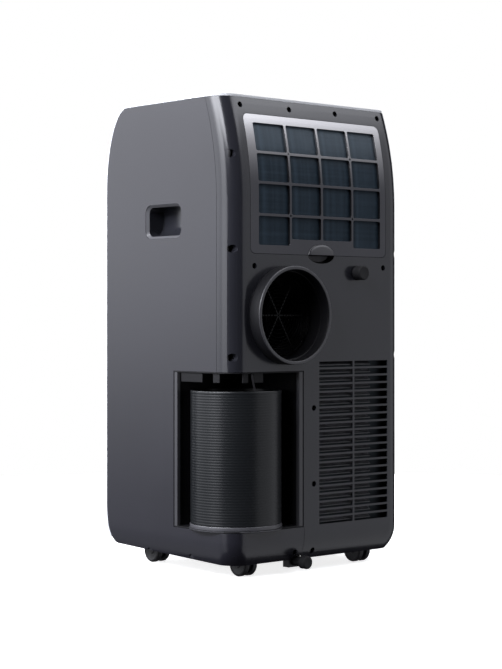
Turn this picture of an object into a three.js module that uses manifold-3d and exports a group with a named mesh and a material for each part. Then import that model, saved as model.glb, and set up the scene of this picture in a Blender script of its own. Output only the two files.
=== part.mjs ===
// Portable air conditioner, in millimetres.
// X runs across the width, Y from the front (-) to the rear (+), Z up, with the wheels on Z = 0.
// The pieces are placed in a body frame whose Y = 0 is the rear face. The outer group moves that
// frame so that the origin is at the bottom centre of the whole object.

import * as THREE from 'three';
import { mergeVertices } from 'three/addons/utils/BufferGeometryUtils.js';
import Module from 'manifold-3d';

const wasm = await Module();
wasm.setup();

// Driving dimensions.

const GAP = 0.3;
const WALL = 2.5;
const BEYOND = 60;

const body = {
  halfWidth: 183,
  depth: 306,
  bottom: 21,
  top: 725,
  frontRise: 11,
  cornerRadius: 30,
  leanHeight: 155,
  leanRadius: 458,
  seam: 34,
  tuckHeight: 37,
  tuckRadius: 63,
  topCurve: { deep: 52, tall: 132 },
  toeCurve: { deep: 22, tall: 63 },
};

const shell = { rim: 4.5, front: 4, crown: 10, thickness: 4.2 };

const bay = { x: 36, y: -136, bottom: 71, top: 311, wall: 2, tab: 14 };

const hose = { x: 121, y: -61, outer: 70, inner: 62, bottom: 73.6, top: 282, ring: 70.5, ringHeight: 6, ledge: 2 };

const clip = { x: 142, y: -1, lean: 7, radius: 1.5 };

const filter = {
  left: -144, right: 145.4, bottom: 489, top: 700, thick: 4, meshThick: 0.8,
  columns: [-131.5, -71.3, -67.3, -5, -1, 61, 65, 128.4],
  rows: [502, 545.6, 549.6, 594, 598, 640, 644, 687],
  shortBottom: 512,
};

const notch = { x: -1, halfWidth: 28, scoop: 13 };

const exhaust = { x: 73, z: 396, outer: 75, neck: 70, bore: 67, proud: 23, inside: 24 };

const grille = { left: -148, right: 3, bottom: 71, top: 326, slots: 21, gap: 9, ribX: -71.7, rib: 4 };

const drains = [
  { name: 'upper', x: -79, z: 463, outer: 9, bore: 6, cap: 11.5, proud: 17, back: -28 },
  { name: 'lower', x: 40, z: 18, outer: 7.5, bore: 5, cap: 10, proud: 14, back: -26 },
];

const handle = { y: -161.5, z: 541.5, wide: 88, tall: 53, deep: 36, radius: 9, wall: 2, flange: 4 };

const panel = { y: -84, wide: 210, deep: 56, thick: 8, radius: 14, buttonRadius: 7, buttonPitch: 26 };

const outlet = { y: -205, wide: 250, deep: 66, wall: 2.5, depth: 44, flapThick: 3, vanes: 4 };

const tray = { half: 170, front: -284, rear: -8, bottom: 42, floor: 4, rim: 62, wall: 2.5 };

const deck = { half: 174, front: -292, rear: -8, z: 476, thick: 4, rim: 12 };

const gland = { y: -70, z: 120, radius: 9, proud: 9 };

const caster = { x: 122, rear: -52, front: -262, radius: 19, wheel: 9, web: 7, trail: 9, axle: 2.5, play: 0.3 };

// Hanging tabs at the head of the hose bay, as x0, x1, y0, y1.
const bayTabs = [
  [178, 180, -121, -71],
  [178, 180, -46, -31],
  [117, 137, -5, -3],
  [147, 158, -5, -3],
];

const coils = {
  evaporator: { x: 0, y: -66, z: 494, half: 132, deep: 34, tall: 176, fins: 22 },
  condenser: { x: -72, y: -34, z: 80, half: 74, deep: 34, tall: 228, fins: 16 },
};

const blowers = {
  evaporator: { x: 0, y: -140, z: 586, radius: 84, deep: 92, inlet: 58, wheel: 68, wheelDeep: 70, motor: 52 },
  condenser: { x: -10, y: -110, z: 392, radius: 72, deep: 96, inlet: 46, wheel: 58, wheelDeep: 72, motor: 52 },
};

// Centre lines of the refrigerant pipes.
const suctionRoute = [
  [12, -216, 202.4], [12, -216, 240], [30, -220, 280], [60, -222, 294], [84, -222, 278], [84, -222, 258.8],
];
const dischargeRoute = [
  [106, -222, 258.8], [106, -222, 280], [80, -262, 300], [-40, -268, 304],
  [-72, -200, 316], [-72, -60, 330], [-72, -34, 322], [-72, -34, 309],
];
const pipeRadius = { suction: 5, discharge: 3.5 };

const controlBox = { x0: -144, x1: -98, y0: -282, y1: -200, z0: 500, z1: 640, wall: 2, open: 1 };

// Finishes.

const FINISH = {
  charcoal: { color: 0x4a4a52, roughness: 0.42, metalness: 0 },
  pale: { color: 0xe8e9eb, roughness: 0.35, metalness: 0 },
  black: { color: 0x1b1b1e, roughness: 0.5, metalness: 0 },
  frame: { color: 0x55565c, roughness: 0.45, metalness: 0 },
  mesh: { color: 0x2d3a46, roughness: 0.7, metalness: 0 },
  hose: { color: 0x34353a, roughness: 0.45, metalness: 0 },
  rubber: { color: 0x151517, roughness: 0.85, metalness: 0 },
  aluminium: { color: 0xb9bdc1, roughness: 0.35, metalness: 1 },
  copper: { color: 0xb8734a, roughness: 0.35, metalness: 1 },
  steel: { color: 0x2a2c30, roughness: 0.4, metalness: 0.6 },
  foam: { color: 0xdcdde0, roughness: 0.9, metalness: 0 },
  glass: { color: 0x101316, roughness: 0.1, metalness: 0 },
};

// Solids.

// A closed geometry as a solid that can be cut and joined, turned right side out.
function solid(geometry) {
  const bare = geometry.clone();
  bare.deleteAttribute('normal');
  bare.deleteAttribute('uv');
  const merged = mergeVertices(bare, 1e-4);
  const points = merged.attributes.position;
  const corners = merged.index.array;
  const kept = [];
  const a = new THREE.Vector3();
  const b = new THREE.Vector3();
  const c = new THREE.Vector3();
  let volume = 0;
  for (let i = 0; i < corners.length; i += 3) {
    const [p, q, r] = [corners[i], corners[i + 1], corners[i + 2]];
    if (p === q || q === r || r === p) continue;
    kept.push(p, q, r);
    a.fromBufferAttribute(points, p);
    b.fromBufferAttribute(points, q);
    c.fromBufferAttribute(points, r);
    volume += a.dot(b.cross(c));
  }
  if (volume < 0) {
    for (let i = 0; i < kept.length; i += 3) [kept[i], kept[i + 1]] = [kept[i + 1], kept[i]];
  }
  return new wasm.Manifold(new wasm.Mesh({
    numProp: 3,
    vertProperties: Float32Array.from(points.array),
    triVerts: Uint32Array.from(kept),
  }));
}

function geometryOf(shape) {
  const mesh = shape.getMesh();
  const geometry = new THREE.BufferGeometry();
  geometry.setAttribute('position', new THREE.BufferAttribute(mesh.vertProperties, mesh.numProp));
  geometry.setIndex(new THREE.BufferAttribute(mesh.triVerts, 1));
  geometry.computeVertexNormals();
  return geometry;
}

function box(x0, x1, y0, y1, z0, z1) {
  const geometry = new THREE.BoxGeometry(x1 - x0, y1 - y0, z1 - z0);
  geometry.translate((x0 + x1) / 2, (y0 + y1) / 2, (z0 + z1) / 2);
  return solid(geometry);
}

// Turned shapes start along Y. A rod runs from one end to the other along X, Y or Z.
function rod(axis, radius, from, to, sides = 24) {
  const geometry = new THREE.CylinderGeometry(radius, radius, to - from, sides);
  geometry.translate(0, (from + to) / 2, 0);
  if (axis === 'x') geometry.rotateZ(-Math.PI / 2);
  if (axis === 'z') geometry.rotateX(Math.PI / 2);
  return solid(geometry);
}

// A profile of [radius, height] points turned about X, Y or Z.
function turned(axis, profile, sides = 32) {
  const points = profile.map(([r, h]) => new THREE.Vector2(r, h));
  if (profile[0][0] > 0) points.push(points[0].clone());
  const geometry = new THREE.LatheGeometry(points, sides);
  if (axis === 'x') geometry.rotateZ(-Math.PI / 2);
  if (axis === 'z') geometry.rotateX(Math.PI / 2);
  return solid(geometry);
}

function shapeOf(points) {
  return new THREE.Shape(points.map(([x, y]) => new THREE.Vector2(x, y)));
}

function roundRect(width, height, radius) {
  const [w, h] = [width / 2, height / 2];
  const shape = new THREE.Shape();
  shape.absarc(w - radius, h - radius, radius, 0, Math.PI / 2);
  shape.absarc(-w + radius, h - radius, radius, Math.PI / 2, Math.PI);
  shape.absarc(-w + radius, -h + radius, radius, Math.PI, 1.5 * Math.PI);
  shape.absarc(w - radius, -h + radius, radius, 1.5 * Math.PI, 2 * Math.PI);
  return shape;
}

// An outline extruded along an axis: drawn in (Y, Z) for X, in (X, Z) for Y and in (X, Y) for Z.
function prism(axis, shape, from, to, curveSegments = 6) {
  const geometry = new THREE.ExtrudeGeometry(shape, { depth: to - from, bevelEnabled: false, curveSegments });
  geometry.translate(0, 0, axis === 'y' ? -to : from);
  if (axis === 'x') {
    geometry.applyMatrix4(new THREE.Matrix4().makeBasis(
      new THREE.Vector3(0, 1, 0), new THREE.Vector3(0, 0, 1), new THREE.Vector3(1, 0, 0)));
  }
  if (axis === 'y') geometry.rotateX(Math.PI / 2);
  return solid(geometry);
}

// A solid through level rings of equal point count, lowest first, each counter-clockwise from above.
function loft(rings) {
  const count = rings[0].length;
  const positions = [];
  const indices = [];
  rings.forEach((ring) => ring.forEach((p) => positions.push(p.x, p.y, p.z)));
  for (let level = 0; level < rings.length - 1; level += 1) {
    for (let j = 0; j < count; j += 1) {
      const next = (j + 1) % count;
      const low = level * count;
      const high = low + count;
      indices.push(low + j, low + next, high + next, low + j, high + next, high + j);
    }
  }
  [0, rings.length - 1].forEach((level) => {
    const middle = new THREE.Vector3();
    rings[level].forEach((p) => middle.addScaledVector(p, 1 / count));
    positions.push(middle.x, middle.y, middle.z);
    const hub = positions.length / 3 - 1;
    for (let j = 0; j < count; j += 1) {
      const [one, two] = [level * count + j, level * count + ((j + 1) % count)];
      if (level === 0) indices.push(hub, two, one);
      else indices.push(hub, one, two);
    }
  });
  const geometry = new THREE.BufferGeometry();
  geometry.setAttribute('position', new THREE.Float32BufferAttribute(positions, 3));
  geometry.setIndex(indices);
  return solid(geometry);
}

function joined(shapes) {
  return shapes.reduce((sum, next) => sum.add(next));
}

// Outline of the body.

const topCurveStart = body.top - body.topCurve.tall;
const toeCurveEnd = body.bottom + body.frontRise + body.toeCurve.tall;
const leanStart = body.top - body.leanHeight;

// How far along a quarter ellipse a height reaches, 1 where it starts and 0 at its end.
function quarter(distance, length) {
  const share = Math.min(Math.max(distance / length, 0), 1);
  return Math.sqrt(1 - share * share);
}

function rearY(z) {
  const rise = Math.min(Math.max(z - leanStart, 0), body.leanHeight + BEYOND);
  return Math.sqrt(body.leanRadius ** 2 - rise ** 2) - body.leanRadius;
}

function tuck(z) {
  const drop = Math.min(Math.max(body.bottom + body.tuckHeight - z, 0), body.tuckHeight);
  return body.tuckRadius - Math.sqrt(body.tuckRadius ** 2 - drop ** 2);
}

// The front edge, moved out by a shell of the given thickness.
function frontY(z, out = 0, up = out) {
  if (z > topCurveStart) {
    const deep = body.topCurve.deep + out;
    return -body.depth + body.topCurve.deep - deep * quarter(z - topCurveStart, body.topCurve.tall + up);
  }
  if (z < toeCurveEnd) {
    const deep = body.toeCurve.deep + out;
    return -body.depth + body.toeCurve.deep - deep * quarter(toeCurveEnd - z, body.toeCurve.tall + out);
  }
  return -body.depth - out;
}

function arcPoints(x, y, radius, from, steps, z) {
  return Array.from({ length: steps + 1 }, (_, i) => {
    const angle = from + (i / steps) * (Math.PI / 2);
    return new THREE.Vector3(x + radius * Math.cos(angle), y + radius * Math.sin(angle), z);
  });
}

// One level of the body: round rear corners and a front edge that may bow outwards.
function level(z, { half, rear, front, radius, crown = 0, crownSteps = 1, crownHalf = half }) {
  const points = [
    ...arcPoints(half - radius, rear - radius, radius, 0, 6, z),
    ...arcPoints(-half + radius, rear - radius, radius, Math.PI / 2, 6, z),
  ];
  for (let i = 0; i <= crownSteps; i += 1) {
    const x = -half + (2 * half * i) / crownSteps;
    const bow = crown * Math.max(0, 1 - (x / crownHalf) ** 2);
    points.push(new THREE.Vector3(x, front - bow, z));
  }
  return points;
}

function steps(from, to, count) {
  return Array.from({ length: count }, (_, i) => from + ((to - from) * i) / count);
}

// Heights that follow a quarter ellipse evenly by angle, from its upright end to its level end.
function curveHeights(start, tall, count) {
  return Array.from({ length: count + 1 }, (_, i) => start + tall * Math.sin((i / count) * (Math.PI / 2)));
}

const toeHeights = curveHeights(0, body.toeCurve.tall - 1, 4).map((drop) => toeCurveEnd - drop).reverse();

const bodyHeights = [
  ...steps(body.bottom, body.bottom + body.tuckHeight, 4),
  body.bottom + body.tuckHeight,
  ...toeHeights,
  leanStart,
  ...curveHeights(topCurveStart, body.topCurve.tall, 8),
].sort((a, b) => a - b);

function bodySolid(inset) {
  return loft(bodyHeights.map((z) => level(z, {
    half: body.halfWidth - inset - tuck(z),
    rear: rearY(z) - inset - tuck(z),
    front: frontY(z),
    radius: body.cornerRadius - inset,
  })));
}

function bodyHollow(inset) {
  const heights = [body.bottom - BEYOND, ...bodyHeights, body.top + BEYOND];
  return loft(heights.map((z) => level(z, {
    half: body.halfWidth - inset - tuck(z),
    rear: rearY(z) - inset - tuck(z),
    front: -body.depth - BEYOND,
    radius: body.cornerRadius - inset,
  })));
}

// Everything in front of the seam that runs a set distance from the rear face and leans with it.
function aheadOfSeam(shift, x0, x1) {
  const heights = [body.bottom - BEYOND, leanStart, ...steps(leanStart, body.top, 6).slice(1), body.top + 5];
  const seam = heights.map((z) => [rearY(z) - body.seam - shift, z]);
  const far = -body.depth - BEYOND;
  return prism('x', shapeOf([[far, heights[0]], ...seam, [far, heights[heights.length - 1]]]), x0, x1);
}

const lowerCut = prism('x', shapeOf([
  [BEYOND, -BEYOND], [BEYOND, body.bottom], [0, body.bottom],
  [-body.depth, body.bottom + body.frontRise], [-body.depth - BEYOND, body.bottom + body.frontRise],
  [-body.depth - BEYOND, -BEYOND],
]), -body.halfWidth - BEYOND, body.halfWidth + BEYOND);

const walls = bodySolid(0).subtract(bodyHollow(WALL)).subtract(lowerCut);

const bayCut = box(bay.x, body.halfWidth + BEYOND, bay.y, BEYOND, bay.bottom, bay.top);

// Outer pieces.

function notchesForDrains() {
  const [, lower] = drains;
  const hole = rod('y', lower.cap + 1, -BEYOND, BEYOND, 20);
  return hole.translate([lower.x, 0, lower.z]);
}

function handleHole(side) {
  const outline = roundRect(handle.wide, handle.tall, handle.radius);
  const face = side * body.halfWidth;
  return prism('x', outline, face - 10, face + 10, 4).translate([0, handle.y, handle.z]);
}

function sidePanelRight() {
  const ahead = aheadOfSeam(GAP / 2, 0, body.halfWidth + BEYOND);
  const skirt = box(bay.x - 1 + GAP / 2, body.halfWidth + BEYOND, -body.depth, BEYOND, 0, bay.bottom + 1);
  return walls.intersect(ahead.add(skirt)).subtract(bayCut).subtract(handleHole(1)).subtract(notchesForDrains());
}

function sidePanelLeft() {
  const ahead = aheadOfSeam(GAP / 2, -body.halfWidth - BEYOND, 0);
  const glandHole = rod('x', gland.radius + GAP, -BEYOND, BEYOND, 16);
  return walls.intersect(ahead).subtract(handleHole(-1))
    .subtract(glandHole.translate([-body.halfWidth, gland.y, gland.z]));
}

function rearCover() {
  const skirt = box(bay.x - 1 - GAP / 2, body.halfWidth + BEYOND, -body.depth, BEYOND, 0, bay.bottom + 1);
  const reach = body.halfWidth + BEYOND;
  let cover = walls.subtract(aheadOfSeam(-GAP / 2, -reach, reach)).subtract(skirt).subtract(bayCut);
  const edge = 0.5;
  cover = cover.subtract(box(filter.left - edge, filter.right + edge, -BEYOND, BEYOND,
    filter.bottom - edge, filter.top + edge));
  cover = cover.subtract(rod('y', exhaust.neck + 0.5, -BEYOND, BEYOND, 32).translate([exhaust.x, 0, exhaust.z]));
  drains.forEach((drain) => {
    cover = cover.subtract(rod('y', drain.outer + 0.5, -BEYOND, BEYOND, 16).translate([drain.x, 0, drain.z]));
  });
  cover = cover.subtract(notchesForDrains());
  const scoop = new THREE.Shape();
  scoop.absellipse(notch.x, filter.bottom, notch.halfWidth, notch.scoop, Math.PI, 2 * Math.PI);
  cover = cover.subtract(prism('y', scoop, -BEYOND / 2, BEYOND, 10));
  const pitch = (grille.top - grille.bottom) / grille.slots;
  for (let i = 0; i < grille.slots; i += 1) {
    const z = grille.bottom + pitch * i + (pitch - grille.gap) / 2;
    const [middle, half] = [grille.ribX, grille.rib / 2];
    cover = cover.subtract(box(grille.left, middle - half, -10, 5, z, z + grille.gap));
    cover = cover.subtract(box(middle + half, grille.right, -10, 5, z, z + grille.gap));
  }
  return cover;
}

// A pale sheet over the front and top, standing a little proud of the dark panels.
function frontShell() {
  const outerTop = body.top + shell.rim;
  const inward = shell.thickness;
  const crownAt = (z) => {
    if (z > topCurveStart) return shell.crown * quarter(z - topCurveStart, outerTop - topCurveStart);
    return shell.crown * quarter(toeCurveEnd - z, body.toeCurve.tall + shell.front);
  };
  const heights = (tall) => [...toeHeights, leanStart, ...curveHeights(topCurveStart, tall, 8)];
  const sheet = (z, tall, out, half, rear, radius) => level(z, {
    half, rear, radius,
    front: frontY(z, out, tall - body.topCurve.tall),
    crown: crownAt(z),
    crownSteps: 8,
    crownHalf: body.halfWidth,
  });
  const outerTall = outerTop - topCurveStart;
  const outer = loft(heights(outerTall).map((z) => sheet(
    z, outerTall, shell.front, body.halfWidth, rearY(z), body.cornerRadius)));
  const innerTall = outerTall - inward;
  const innerHeights = [body.bottom - BEYOND, ...heights(innerTall)];
  const inner = loft(innerHeights.map((z) => sheet(
    z, innerTall, shell.front - inward + GAP, body.halfWidth + 20, BEYOND, 1)));
  const ringHalf = outlet.wide / 2 + outlet.wall + GAP;
  const ringDeep = outlet.deep / 2 + outlet.wall + GAP;
  const outletCut = box(-ringHalf, ringHalf, outlet.y - ringDeep, outlet.y + ringDeep,
    body.top - BEYOND, body.top + BEYOND);
  const panelOutline = roundRect(panel.wide + 2 * GAP, panel.deep + 2 * GAP, panel.radius);
  const panelCut = prism('z', panelOutline, body.top - 5, body.top + 10, 5).translate([0, panel.y, 0]);
  return outer.subtract(inner).subtract(outletCut).subtract(panelCut);
}

function bayLiner() {
  const envelope = bodySolid(GAP);
  const w = bay.wall;
  const reach = body.halfWidth + BEYOND;
  const block = box(bay.x + 0.4, reach, bay.y + 0.4, BEYOND, bay.bottom + GAP, bay.top - GAP);
  const room = box(bay.x + 0.4 + w, reach, bay.y + 0.4 + w, BEYOND, bay.bottom + GAP + w, bay.top - GAP - w);
  const tabs = bayTabs.map((tab) => box(...tab, bay.top - w - bay.tab, bay.top - w));
  const ledge = rod('z', hose.ring + hose.ledge, bay.bottom + GAP, bay.bottom + GAP + w, 32);
  const lip = ledge.translate([hose.x, hose.y, 0]).intersect(box(bay.x + 5, reach, bay.y + 5, BEYOND, 0, bay.top));
  return block.subtract(room).intersect(envelope).add(joined(tabs)).add(lip);
}

// A strip that follows the rear face between two heights, from one depth behind it to another.
function rearStrip(x0, x1, z0, z1, outerDepth, innerDepth, count) {
  const heights = [...steps(z0, z1, count), z1];
  const near = heights.map((z) => [rearY(z) - outerDepth, z]);
  const far = heights.map((z) => [rearY(z) - innerDepth, z]).reverse();
  return prism('x', shapeOf([...near, ...far]), x0, x1);
}

function filterFrame() {
  let frame = rearStrip(filter.left, filter.right, filter.bottom, filter.top, 0, filter.thick, 9);
  for (let column = 0; column < 4; column += 1) {
    for (let row = 0; row < 4; row += 1) {
      const [x0, x1] = [filter.columns[2 * column], filter.columns[2 * column + 1]];
      const middleColumn = column === 1 || column === 2;
      const z0 = row === 0 && middleColumn ? filter.shortBottom : filter.rows[2 * row];
      frame = frame.subtract(box(x0, x1, -BEYOND, 5, z0, filter.rows[2 * row + 1]));
    }
  }
  return frame;
}

function filterMesh() {
  const behind = filter.thick + GAP;
  return rearStrip(filter.left + 6, filter.right - 6, filter.bottom + 8, filter.top - 8,
    behind, behind + filter.meshThick, 8);
}

function exhaustCollar() {
  const { outer, neck, bore, proud, inside } = exhaust;
  return turned('y', [
    [bore, -inside], [neck, -inside], [neck, GAP], [outer, GAP], [outer, proud - 2], [outer - 2, proud],
    [bore + 2, proud], [bore, proud - 2],
  ], 32);
}

function exhaustGuard() {
  const rings = [64, 44, 24].map((r) => turned('y', [[r, 0], [r + 2.4, 0], [r + 2.4, 2], [r, 2]], 12));
  const bars = [0, 1, 2].map((i) => box(-65, 65, 0, 2, -1, 1).rotate([0, i * 60, 0]));
  return joined([...rings, ...bars]);
}

function drainSpout({ outer, bore, cap, back, proud }) {
  return turned('y', [
    [bore, back], [outer, back], [outer, GAP + 0.3], [cap, GAP + 0.3], [cap, 2], [outer, 2],
    [outer, proud - 4], [bore, proud - 4],
  ], 16);
}

function drainPlug({ outer, cap, proud }) {
  return turned('y', [
    [0, proud], [cap - 1.5, proud], [cap, proud - 1.5], [cap, 2.4], [outer + GAP, 2.4],
    [outer + GAP, proud - 3], [0, proud - 3],
  ], 16);
}

function handleCup(side) {
  const { wide, tall, deep, radius, wall, flange } = handle;
  const face = body.halfWidth;
  const back = face - WALL - GAP;
  const outline = (grow) => roundRect(wide + 2 * grow, tall + 2 * grow, Math.max(radius + grow, 2));
  const sleeve = prism('x', outline(-0.4), face - deep, face - 0.4, 4);
  const rim = prism('x', outline(flange), back - 2, back, 4);
  const room = prism('x', outline(-0.4 - wall), face - deep + wall, face + 5, 4);
  const cup = sleeve.add(rim).subtract(room).translate([0, handle.y, handle.z]);
  return side > 0 ? cup : cup.mirror([1, 0, 0]);
}

// Top controls and outlet.

function buttonPlaces() {
  return [-2, -1, 1, 2].map((place) => place * panel.buttonPitch + Math.sign(place) * 16);
}

function controlPanel() {
  const plate = prism('z', roundRect(panel.wide, panel.deep, panel.radius), -panel.thick, 0.6, 5);
  const window = prism('z', roundRect(54, 30, 4), -2, 5, 3);
  const wires = box(-12, 12, -8, 8, -panel.thick - 1, 1);
  const holes = buttonPlaces().map((x) => rod('z', panel.buttonRadius + GAP, -20, 5, 12).translate([x, 0, 0]));
  return plate.subtract(joined([window, wires, ...holes]));
}

function pushButton() {
  return turned('z', [
    [0, -9], [panel.buttonRadius, -9], [panel.buttonRadius, 1.2], [panel.buttonRadius - 1, 2], [0, 2],
  ], 14);
}

function outletFrame() {
  const { wide, deep, wall, depth, flapThick } = outlet;
  const outline = (grow) => [-wide / 2 - grow, wide / 2 + grow, -deep / 2 - grow, deep / 2 + grow];
  const top = body.top + shell.rim;
  const ring = box(...outline(wall), top - depth, top);
  const bore = box(...outline(0), top - depth - 5, top + 5);
  const ledges = [
    box(-wide / 2, wide / 2, deep / 2 - 2, deep / 2 + 1, top - flapThick - 3, top - flapThick - GAP - 0.5),
    box(-wide / 2, wide / 2, -deep / 2 - 1, -deep / 2 + 2, top - flapThick - 3, top - flapThick - GAP - 0.5),
  ];
  const pins = vanePlaces().map((x) => rod('y', 2.2, -deep / 2 - 5, deep / 2 + 5, 12).translate([x, 0, top - 25]));
  return ring.subtract(bore).add(joined(ledges)).subtract(joined(pins));
}

function vanePlaces() {
  const pitch = outlet.wide / (outlet.vanes + 1);
  return Array.from({ length: outlet.vanes }, (_, i) => -outlet.wide / 2 + pitch * (i + 1));
}

function louverFlap() {
  const { wide, deep, flapThick } = outlet;
  const plate = box(-wide / 2 + 0.8, wide / 2 - 0.8, -deep + 1.6, -0.3, -flapThick, 0);
  const rib = box(-wide / 2 + 8, wide / 2 - 8, -deep / 2 - 1, -deep / 2 + 1, -flapThick - 3, -flapThick);
  return plate.add(rib);
}

function vane() {
  const blade = box(-0.8, 0.8, -outlet.deep / 2 + 1.5, outlet.deep / 2 - 1.5, -12, 12);
  return blade.add(rod('y', 1.9, -outlet.deep / 2 - 2, outlet.deep / 2 + 2, 12));
}

// Caster.

function casterYoke() {
  const { radius, web, trail, axle, play } = caster;
  const cheek = rod('x', radius - 4, -web / 2, web / 2, 16).translate([0, trail, radius]);
  const post = box(-web / 2, web / 2, -5, trail, radius, 39);
  const hood = rod('z', 13, 38.6, 41.4, 16);
  const stem = rod('z', 4, 40, 54, 10);
  const bore = rod('x', axle + play, -10, 10, 10).translate([0, trail, radius]);
  return joined([cheek, post, hood, stem]).subtract(bore);
}

function casterWheels() {
  const { radius, wheel, web, axle } = caster;
  const near = web / 2 + 0.4;
  const far = near + wheel;
  const disc = (sign) => turned('x', [
    [0, sign * near], [radius - 1, sign * near], [radius, sign * (near + 1)],
    [radius, sign * (far - 3)], [radius - 3, sign * far], [0, sign * far],
  ], 16);
  return joined([disc(1), disc(-1), rod('x', axle, -near - 1, near + 1, 10)]);
}

// Inner works.

function baseTray() {
  const { half, front, rear, bottom, floor, rim, wall } = tray;
  const pan = box(-half, half, front, rear, bottom, rim).intersect(bodySolid(WALL + 1));
  const room = box(-half + wall, half - wall, front + wall, rear - wall, bottom + floor, rim + 5);
  const [, lower] = drains;
  const sump = box(lower.x - 12, lower.x + 12, -30, -17, lower.z - 9.5, bottom + 1);
  const spoutHole = rod('y', lower.outer + GAP, -29, 0, 16).translate([lower.x, 0, lower.z]);
  const sockets = casterPlaces().map(([x, y]) => rod('z', 4.3, bottom - 5, 56, 10).translate([x, y, 0]));
  const bosses = casterPlaces().map(([x, y]) => rod('z', 9, bottom + 1, 58, 10).translate([x, y, 0]));
  const seats = mountPlaces().map(([x, y]) => rod('z', 9, bottom + 1, 52, 10).translate([x, y, 0]));
  return pan.subtract(room).add(joined([sump, ...bosses, ...seats])).subtract(joined([spoutHole, ...sockets]));
}

function casterPlaces() {
  const { x, rear, front } = caster;
  return [[x, rear], [-x, rear], [x, front], [-x, front]];
}

const compressor = { x: 92, y: -222, radius: 52, bottom: 70, top: 258, feet: 62 };

function mountPlaces() {
  return [90, 210, 330].map((degrees) => {
    const angle = THREE.MathUtils.degToRad(degrees);
    return [compressor.x + compressor.feet * Math.cos(angle), compressor.y + compressor.feet * Math.sin(angle)];
  });
}

function compressorCan() {
  const { radius, bottom, top, feet } = compressor;
  const can = turned('z', [
    [0, bottom], [radius - 14, bottom], [radius, bottom + 12], [radius, top - 22],
    [radius - 12, top - 6], [radius - 28, top], [0, top],
  ], 20);
  const plate = mountPlaces().map(([x, y]) => {
    const pad = rod('z', 12, bottom - 1.5, bottom + 2, 16).translate([x - compressor.x, y - compressor.y, 0]);
    const angle = Math.atan2(y - compressor.y, x - compressor.x);
    const arm = box(0, feet, -10, 10, bottom - 1.5, bottom + 2).rotate([0, 0, THREE.MathUtils.radToDeg(angle)]);
    return pad.add(arm);
  });
  return can.add(joined(plate));
}

function rubberMount() {
  return turned('z', [[0, 0], [9, 0], [9, 4], [7, 6], [7, 9], [9, 11], [9, 15.9], [0, 15.9]], 10);
}

// A finned block with a row of hairpin tube ends at both sides.
function coil(half, deep, tall, fins) {
  const core = box(-half, half, -deep / 2, deep / 2, 0, tall);
  const pitch = (2 * half) / fins;
  const cuts = Array.from({ length: fins }, (_, i) => box(
    -half + pitch * (i + 0.25), -half + pitch * (i + 0.75), deep / 2 - 3, deep / 2 + 1, 4, tall - 4));
  return core.subtract(joined(cuts));
}

function blowerHousing({ radius, deep, inlet, spout }) {
  const w = 2;
  const drum = rod('y', radius, -deep / 2, deep / 2, 24);
  const room = rod('y', radius - w, -deep / 2 + w, deep / 2 - w, 24);
  const eye = rod('y', inlet, 0, deep, 24);
  const shaft = rod('y', 9, -deep, 0, 16);
  return drum.add(spout.outer).subtract(room).subtract(spout.inner).subtract(eye).subtract(shaft);
}

function blowerWheel(radius, deep) {
  const hub = turned('y', [[4.3, -deep / 2], [radius, -deep / 2], [radius, -deep / 2 + 2], [4.3, -deep / 2 + 2]], 18);
  const ring = turned('y', [
    [radius - 9, deep / 2 - 2], [radius, deep / 2 - 2], [radius, deep / 2], [radius - 9, deep / 2],
  ], 18);
  const blades = Array.from({ length: 10 }, (_, i) => box(
    radius - 8, radius - 1, -0.9, 0.9, -deep / 2, deep / 2 - 0.5)
    .rotate([90, 0, 0]).rotate([0, (i * 360) / 10, 0]));
  return joined([hub, ring, ...blades]);
}

function fanMotor(length) {
  return turned('y', [
    [0, -length], [30, -length], [34, -length + 4], [34, -6], [30, -2], [8, -2], [8, 0], [4, 0], [4, 22], [0, 22],
  ], 16);
}

function accumulator() {
  return turned('z', [[0, 0], [14, 4], [19, 14], [19, 104], [14, 114], [0, 118]], 14);
}

function pipe(points, radius) {
  const route = points.map(([x, y, z]) => new THREE.Vector3(x, y, z));
  const curve = new THREE.CatmullRomCurve3(route, false, 'catmullrom', 0.3);
  const section = new THREE.Shape();
  section.absarc(0, 0, radius, 0, 2 * Math.PI);
  return solid(new THREE.ExtrudeGeometry(section, {
    extrudePath: curve, steps: 14, bevelEnabled: false, curveSegments: 3,
  }));
}

// Assembly.

const unit = new THREE.Group();
const rearReach = exhaust.proud;
const frontReach = -body.depth - shell.front - shell.crown;
const rightReach = hose.x + hose.ring + hose.ledge;
unit.position.set(-(rightReach - body.halfWidth - gland.proud) / 2, -(rearReach + frontReach) / 2, 0);

function add(name, shape, finish, x = 0, y = 0, z = 0) {
  const mesh = new THREE.Mesh(geometryOf(shape), new THREE.MeshStandardMaterial(finish));
  mesh.name = name;
  mesh.position.set(x, y, z);
  unit.add(mesh);
}

add('side_panel_right', sidePanelRight(), FINISH.charcoal);
add('side_panel_left', sidePanelLeft(), FINISH.charcoal);
add('rear_cover', rearCover(), FINISH.charcoal);
add('front_shell', frontShell(), FINISH.pale);
add('bay_liner', bayLiner(), FINISH.black);
add('filter_frame', filterFrame(), FINISH.frame);
add('filter_mesh', filterMesh(), FINISH.mesh);
add('exhaust_collar', exhaustCollar(), FINISH.charcoal, exhaust.x, 0, exhaust.z);
add('exhaust_guard', exhaustGuard(), FINISH.black, exhaust.x, -18, exhaust.z);
drains.forEach((drain) => {
  add(`drain_spout_${drain.name}`, drainSpout(drain), FINISH.black, drain.x, 0, drain.z);
  add(`drain_plug_${drain.name}`, drainPlug(drain), FINISH.rubber, drain.x, 0, drain.z);
});
add('handle_cup_right', handleCup(1), FINISH.charcoal);
add('handle_cup_left', handleCup(-1), FINISH.charcoal);

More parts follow.
